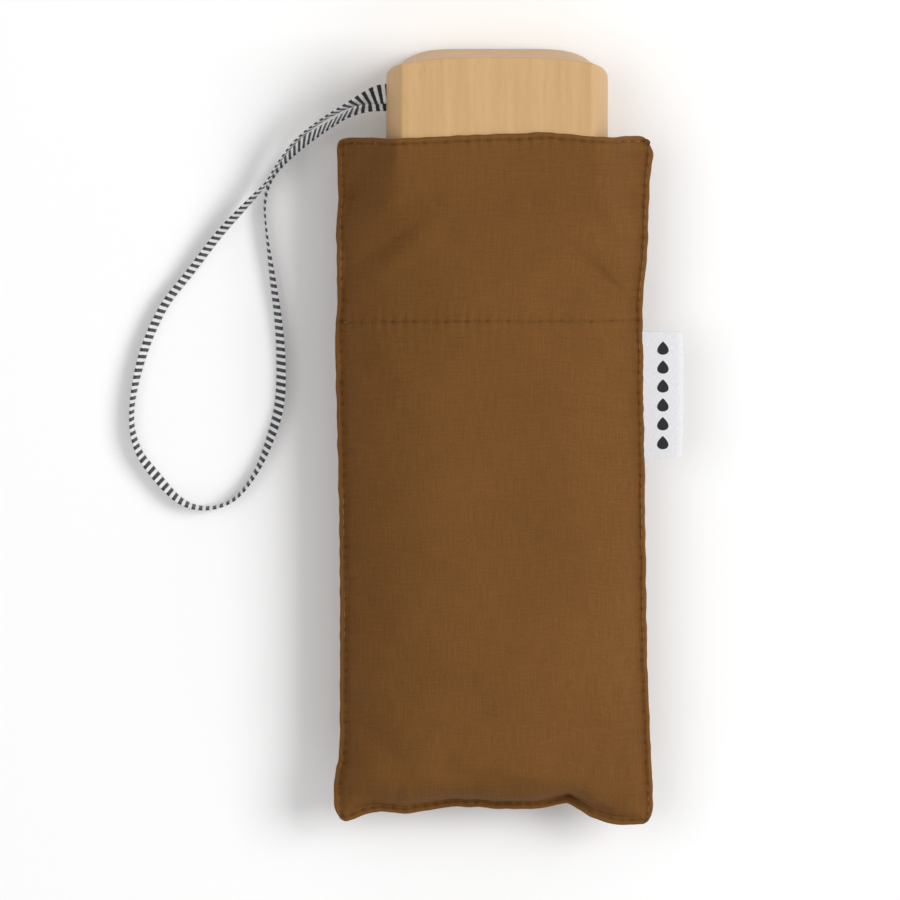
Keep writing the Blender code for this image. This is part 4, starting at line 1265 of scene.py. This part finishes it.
# %% Metals and plastics
def hard_finish(name, colour, roughness, metallic, grain, relief, spread=0.12):
    """A hard surface: one grain, stretched as asked, varies its tone, gloss and height."""
    made = plain_material(name, colour, roughness, metallic)
    tree = made.node_tree
    fine = noise_texture(tree, stretched(tree, grain), 1000.0, 3.0)
    wide = noise_texture(tree, stretched(tree, (1.0, 0.5, 1.0)), 160.0, 3.0)
    both = math_node(tree, "MULTIPLY_ADD", wide, 0.5, math_node(tree, "MULTIPLY", fine, 0.5))
    dark = tuple(value * (1 - 2 * spread) for value in colour)
    light = tuple(min(value * (1 + spread), 1.0) for value in colour)
    connect(tree, ramp(tree, both, ((0.36, dark), (0.62, light))), "Base Color")
    values = {"Value": both, "From Min": 0.3, "From Max": 0.7, "To Min": roughness * 0.8,
              "To Max": min(roughness * 1.3, 1.0)}
    connect(tree, node(tree, "ShaderNodeMapRange", values).outputs[0], "Roughness")
    bump(tree, fine, relief * MM, 0.6)
    return made


drawn_steel = hard_finish("drawn_steel", (0.62, 0.62, 0.64), 0.20, 1.0, (1.6, 0.02, 1.6), 0.010)
turned_alloy = hard_finish("turned_alloy", (0.68, 0.68, 0.70), 0.32, 1.0, (0.05, 4.0, 0.05), 0.020)
plated_steel = hard_finish("plated_steel", (0.60, 0.60, 0.62), 0.26, 1.0, (1.0, 1.0, 1.0), 0.010)
spring_steel = hard_finish("blued_spring_steel", (0.36, 0.38, 0.42), 0.34, 1.0, (1.0, 0.1, 1.0), 0.010)
moulded_black = hard_finish("moulded_black", (0.022, 0.022, 0.024), 0.48, 0.0, (1.0, 1.0, 1.0), 0.030)
gloss_black = hard_finish("gloss_black", (0.018, 0.018, 0.020), 0.22, 0.0, (0.6, 0.6, 0.6), 0.008)
coated_steel = hard_finish("coated_rib_steel", (0.030, 0.030, 0.032), 0.38, 0.3, (0.8, 0.8, 0.8), 0.020,
                           0.2)
glass_fibre = hard_finish("glass_fibre", (0.52, 0.52, 0.46), 0.50, 0.0, (3.0, 0.03, 3.0), 0.020, 0.16)
print("hard finishes ready")

# %% Shaft tubes
CATCH_FROM_END = 5.8 * MM  # from a tube's crown end to its catch button
RUNNER_STOP_Y = -10.0 * MM  # the hole that holds the runner when the umbrella is open
for number, body in enumerate(("handle", "stage_2", "stage_3", "crown"), 1):
    low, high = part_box(f"shaft_tube_{number}")
    outer = (high[0] - low[0]) / 2 / MM
    start, end = low[1] / MM, high[1] / MM
    wall = ((start, outer - 0.5), (start, outer), (end, outer), (end, outer - 0.5))
    tube = break_rims(spun(f"tube_{number}", wall, sides=64), 0.14)
    if number == 1:
        pin_low, pin_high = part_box("handle_pin")
        pin_place = (0.0, (pin_low[1] + pin_high[1]) / 2, AXIS_Z)
        carve(tube, cylinder_tool(pin_place, 1.1 * MM, 7.0 * MM, "Z", 32))
    hole_y = RUNNER_STOP_Y if number == 4 else low[1] + CATCH_FROM_END
    carve(tube, cylinder_tool((0.0, hole_y, AXIS_Z + 4.2 * MM), 0.95 * MM, 6.0 * MM, "Z", 32))
    finish_piece(tube, drawn_steel, body, "shaft_steel", f"shaft_tube_{number}")
collar_shape = ((52.0, 2.7), (52.0, 7.3), (52.7, 8.0), (53.2, 8.0), (53.35, 7.8), (53.55, 7.8),
                (53.7, 8.0), (54.7, 8.0), (54.7, 2.7))
finish_piece(break_rims(spun("collar_ring", collar_shape), 0.10), turned_alloy, "handle",
             "collar_metal", "handle_collar")
print("shaft and collar turned")

# %% Crown and runner
hub_shape = ((-72.0, 5.1), (-72.0, 8.6), (-78.0, 8.6), (-78.0, 2.3), (-75.8, 2.3), (-75.8, 5.1))
hub = break_rims(spun("crown_hub_ring", hub_shape), 0.3)
mill_slots(hub, -79.0, -71.0, 5.8)
wire_groove(hub, -74.5, 7.3)
finish_piece(hub, moulded_black, "crown", "black_plastic", "crown_hub")

dome = [(-79.95 - 2.65 * math.sin(k * math.pi / 24), 6.5 * math.cos(k * math.pi / 24)) for k in range(13)]
cap_shape = [(-76.2, 0.0), (-76.2, 2.0), (-79.8, 2.0), (-79.8, 6.35)] + dome
cap = spun("crown_cap_dome", cap_shape, closed=False)
finish_piece(cap, gloss_black, "crown", "cap_plastic", "crown_cap")

grip = []
for step in range(3):
    ring_y = 48.2 + 0.6 * step
    grip += [(ring_y, 7.2), (ring_y + 0.15, 6.95), (ring_y + 0.30, 7.2)]
runner_shape = [(36.0, 5.1), (36.0, 7.7), (40.5, 7.7), (40.5, 6.5), (47.0, 6.5), (47.8, 7.2)]
runner_shape += grip + [(50.0, 7.2), (50.0, 5.1)]
runner = break_rims(spun("runner_slide", runner_shape), 0.12)
mill_slots(runner, 35.0, 39.9, 4.1)
window_low = (-1.3 * MM, 41.0 * MM, AXIS_Z + 3.0 * MM)
carve(runner, box_tool(window_low, (1.3 * MM, 46.5 * MM, AXIS_Z + 9.0 * MM)))
wire_groove(runner, 38.2, 6.0)
finish_piece(runner, moulded_black, "crown", "black_plastic", "runner")
print("crown and runner turned")

# %% [markdown]
# The small steel pieces and the ribs keep the frame's own shape, and only get a better finish.

# %% Finish of the small pieces
KEPT_FINISHES = {"catch_spring": spring_steel, "runner_catch": spring_steel, "handle_pin": plated_steel,
                 "strap_anchor": plated_steel, "crown_wire": plated_steel, "runner_wire": plated_steel}
for name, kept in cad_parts.items():
    if name.startswith("rib_"):
        finish = glass_fibre if name.endswith("segment_5") else coated_steel
    else:
        finish = next((KEPT_FINISHES[key] for key in KEPT_FINISHES if name.startswith(key)), None)
    if finish:
        kept.data.materials.clear()
        kept.data.materials.append(finish)
print("ribs and small pieces finished")

# %% [markdown]
# ## The folded canopy
# The canopy's eight-sided cloth is gathered between the ribs, and each fold is laid round the bundle
# over the next one. In section every flap is a flat Z: out on top, back in the middle, out again at
# the bottom. Six of them go round. The section is drawn on an evened oval and swept from the cap to
# the hem, where each flap ends in a slanted edge.

# %% Canopy bundle
SQUARENESS = 3.2
BUNDLE_HALF = (22.42 * MM, 12.82 * MM)
FLAPS = 6
LAYER = 0.33 * MM
TURN_BACK = 7.0 * MM
HEM_END_Y = 45.4 * MM
BUNDLE_SHOULDER_Y = -72.0 * MM
END_DEPTH = 7.0 * MM
TIE_MIDDLE_Y, TIE_HALF_WIDTH = 23.0 * MM, 7.0 * MM


def even_oval(half_width, half_height):
    """Evenly spaced points round a rounded oblong, and its perimeter."""
    corners = []
    for k in range(361):
        turn = math.radians(k)
        reach = abs(math.cos(turn) / half_width) ** SQUARENESS
        reach = (reach + abs(math.sin(turn) / half_height) ** SQUARENESS) ** (-1 / SQUARENESS)
        corners.append((reach * math.cos(turn), reach * math.sin(turn), 0.0))
    return read_smoothly(corners, 0.4 * MM)


def oval_reader(half_width, half_height):
    """A function of (distance along, height over the oval), and the oval's perimeter."""
    points, perimeter = even_oval(half_width, half_height)
    count = len(points) - 1

    def read(along, height=0.0):
        spot = along / perimeter * count
        low = math.floor(spot)
        one, other = Vector(points[low % count]), Vector(points[(low + 1) % count])
        tangent = (Vector(points[(low + 2) % count]) - Vector(points[(low - 1) % count])).normalized()
        middle = one.lerp(other, spot - low)
        return Vector((middle.x + tangent.y * height, middle.y - tangent.x * height))

    return read, perimeter


bundle_at, bundle_round = oval_reader(*BUNDLE_HALF)
flap_width = bundle_round / FLAPS


def flap_section():
    """One flap as (distance along, layer height, how far its hem is cut back)."""
    points = []
    for k in range(7):
        share = k / 7
        lift = share * share * (3 - 2 * share)
        points.append((0.25 * MM + 3.2 * MM * share, 2 * LAYER * lift, 0.9 - 0.15 * share))
    for k in range(22):
        share = k / 21
        points.append((3.5 * MM + (flap_width - 3.5 * MM) * share, 2 * LAYER, 0.75 * (1 - share)))
    for k in range(1, 4):
        bend = math.pi * k / 4
        points.append((flap_width + 0.5 * LAYER * math.sin(bend), LAYER * (1.5 + 0.5 * math.cos(bend)), 0.05))
    for k in range(8):
        points.append((flap_width - TURN_BACK * k / 7, LAYER, 0.1 + 0.05 * k))
    for k in range(1, 4):
        bend = math.pi * k / 4
        points.append((flap_width - TURN_BACK - 0.5 * LAYER * math.sin(bend),
                       LAYER * (0.5 + 0.5 * math.cos(bend)), 0.5))
    for k in range(8):
        points.append((flap_width - TURN_BACK + (TURN_BACK - 0.3 * MM) * k / 7, 0.0, 0.5 + 0.05 * k))
    return points


flap = flap_section()
around = [(along + flap_width * i, height, cut) for i in range(FLAPS) for along, height, cut in flap]


def bundle_point(along, layer, cut, share):
    """A point of the bundle; share runs from 0 at the cap, past 0.16 at the shoulder, to 1."""
    if share < 0.16:
        turn = math.pi / 2 * (1 - share / 0.16)
        size = math.cos(turn) ** 0.6 if turn < 1.57 else 0.0
        y = BUNDLE_SHOULDER_Y - END_DEPTH * math.sin(turn) ** 0.8
    else:
        size = 1.0
        run = (share - 0.16) / 0.84
        hem_y = HEM_END_Y - 4.2 * MM * cut
        y = BUNDLE_SHOULDER_Y + (hem_y - BUNDLE_SHOULDER_Y) * run
    tied = math.exp(-((abs(y - TIE_MIDDLE_Y) / (TIE_HALF_WIDTH + 1.6 * MM)) ** 6))
    base = bundle_at(along)
    spot = Vector((base.x * 40, base.y * 40, y * 14))
    twist = 2.0 * MM * (y / (60 * MM)) + 1.5 * MM * noise.noise(spot)
    ripple = noise.noise(Vector((base.x * 170, base.y * 170, y * 17 + 4.0)))
    height = layer * (1 - 0.25 * tied) + 0.20 * MM * ripple * (1 - 0.6 * tied) - 0.22 * MM * tied
    slack = min(max((y - 33 * MM) / (12 * MM), 0.0), 1.0)
    place = bundle_at(along + twist * size, height * size - 0.5 * MM * slack * slack)
    turn = math.atan2(place.y, place.x)
    hole = Vector((math.cos(turn), math.sin(turn))) * (2.45 * MM + 0.15 * layer)
    place = hole.lerp(place, size)
    return Vector((place.x, y, AXIS_Z + place.y))


near_cap = [0.16 * k / 16 for k in range(16)]
along_body = [0.16 + 0.84 * k / 84 for k in range(85)]
shares = near_cap + along_body
rows = [[bundle_point(*spot, share) for spot in around] for share in shares]
bundle = from_grid("folded_canopy", rows, closed_rows=True)
walked = [0.0]
for one, other in zip(around, around[1:] + around[:1]):
    walked.append(walked[-1] + math.hypot((other[0] - one[0]) % bundle_round if other is around[0]
                                          else other[0] - one[0], other[1] - one[1]))
spots = []
for face in bundle.data.polygons:
    columns = [v % len(around) for v in face.vertices]
    wraps = max(columns) - min(columns) > 1
    for vertex, column in zip(face.vertices, columns):
        place = walked[-1] if wraps and column == 0 else walked[column]
        spots += [place / MM, bundle.data.vertices[vertex].co.y / MM]
bundle.data.uv_layers.new(name="cloth").data.foreach_set("uv", spots)
modify(bundle, "SOLIDIFY", thickness=0.16 * MM, offset=-1.0, use_rim=True)
activate(bundle)
bpy.ops.object.mode_set(mode="EDIT")
bpy.ops.mesh.select_all(action="SELECT")
bpy.ops.mesh.normals_make_consistent(inside=False)
leave_edit()
canopy_pongee = pongee_finish("canopy_pongee", SLEEVE_LIGHT, SLEEVE_DARK)
finish_piece(bundle, canopy_pongee, "crown", "canopy_cloth", "canopy", angle=50.0)
print("canopy bundle", len(bundle.data.polygons), "faces")

# %% [markdown]
# The tie band is a strip of the same cloth, folded double and edge-stitched. It goes once round the
# bundle and laps over itself at the side, where a snap holds it.

# %% Tie band and snap
BAND_HALF = (23.50 * MM, 13.85 * MM)
BAND_THICK = 0.24 * MM
BAND_LAP = 8.0 * MM
BAND_STITCH = 1.2 * MM
band_at, band_round = oval_reader(*BAND_HALF)
band_length = band_round + 2 * BAND_LAP


def band_point(run, across):
    """A point of the band: run along it and across from one edge to the other, both in metres."""
    share = run / band_length
    away = TIE_HALF_WIDTH - abs(across)
    end = min(run, band_length - run)
    edge = min(away, end)
    height = 0.27 * MM * share
    pulled = 0.5 + 0.5 * math.cos(2 * math.pi * run / STITCH)
    height -= 0.07 * MM * (1 + pulled) * bell(away - BAND_STITCH, 0.35 * MM)
    height -= 0.08 * MM * (1 - rolled(edge, 0.4 * MM))
    place = band_at(run - BAND_LAP, height)
    point_y = TIE_MIDDLE_Y + across * (1 - 0.45 * max(0.0, 1 - end / (5 * MM)) ** 2)
    return Vector((place.x, point_y, AXIS_Z + place.y))


band_across = [-7.0, -6.9, -6.7, -6.45, -6.2, -6.0, -5.8, -5.6, -5.4, -5.1, -4.2, -2.8, -1.4]
band_across += [0.0] + [-place for place in reversed(band_across)]
steps = [band_length * k / 420 for k in range(421)]
band = from_grid("tie_strip", [[band_point(run, a * MM) for a in band_across] for run in steps])
spots = []
for loop in band.data.loops:
    row, column = divmod(loop.vertex_index, len(band_across))
    spots += [steps[row] / MM, band_across[column]]
band.data.uv_layers.new(name="cloth").data.foreach_set("uv", spots)
leaning = sum(f.normal.z * (f.center.z - AXIS_Z) for f in band.data.polygons)
modify(band, "SOLIDIFY", thickness=BAND_THICK, offset=1.0 if leaning > 0 else -1.0, use_rim=True)
activate(band)
bpy.ops.object.mode_set(mode="EDIT")
bpy.ops.mesh.select_all(action="SELECT")
bpy.ops.mesh.normals_make_consistent(inside=False)
leave_edit()
band_stitches = sew("tie_strip_topstitch", [
    ([band_point(run, side * (TIE_HALF_WIDTH - BAND_STITCH)) for run in steps], None, None)
    for side in (1, -1)
], brown_thread, "crown")
finish_piece(band, canopy_pongee, "crown", "tie_cloth", "tie_band", angle=50.0)

snap_shape = [(24.2, 0.0), (24.2, 3.9), (24.5, 4.0), (24.8, 3.8), (24.85, 3.3), (24.7, 3.0), (24.75, 2.7)]
snap_shape += [(24.75 + 0.7 * math.sin(k * math.pi / 16), 2.6 * math.cos(k * math.pi / 16))
               for k in range(9)]
snap = spun("snap_button", snap_shape, "X", Vector((0.0, TIE_MIDDLE_Y, AXIS_Z)), closed=False, sides=64)
finish_piece(snap, plated_steel, "crown", "snap_metal", "tie_snap")
print("tie band", len(band.data.polygons), "faces")

# %% [markdown]
# ## The last step
# The last cell takes the stitch model away.

# %% Finish
bpy.data.objects.remove(stitch_model)
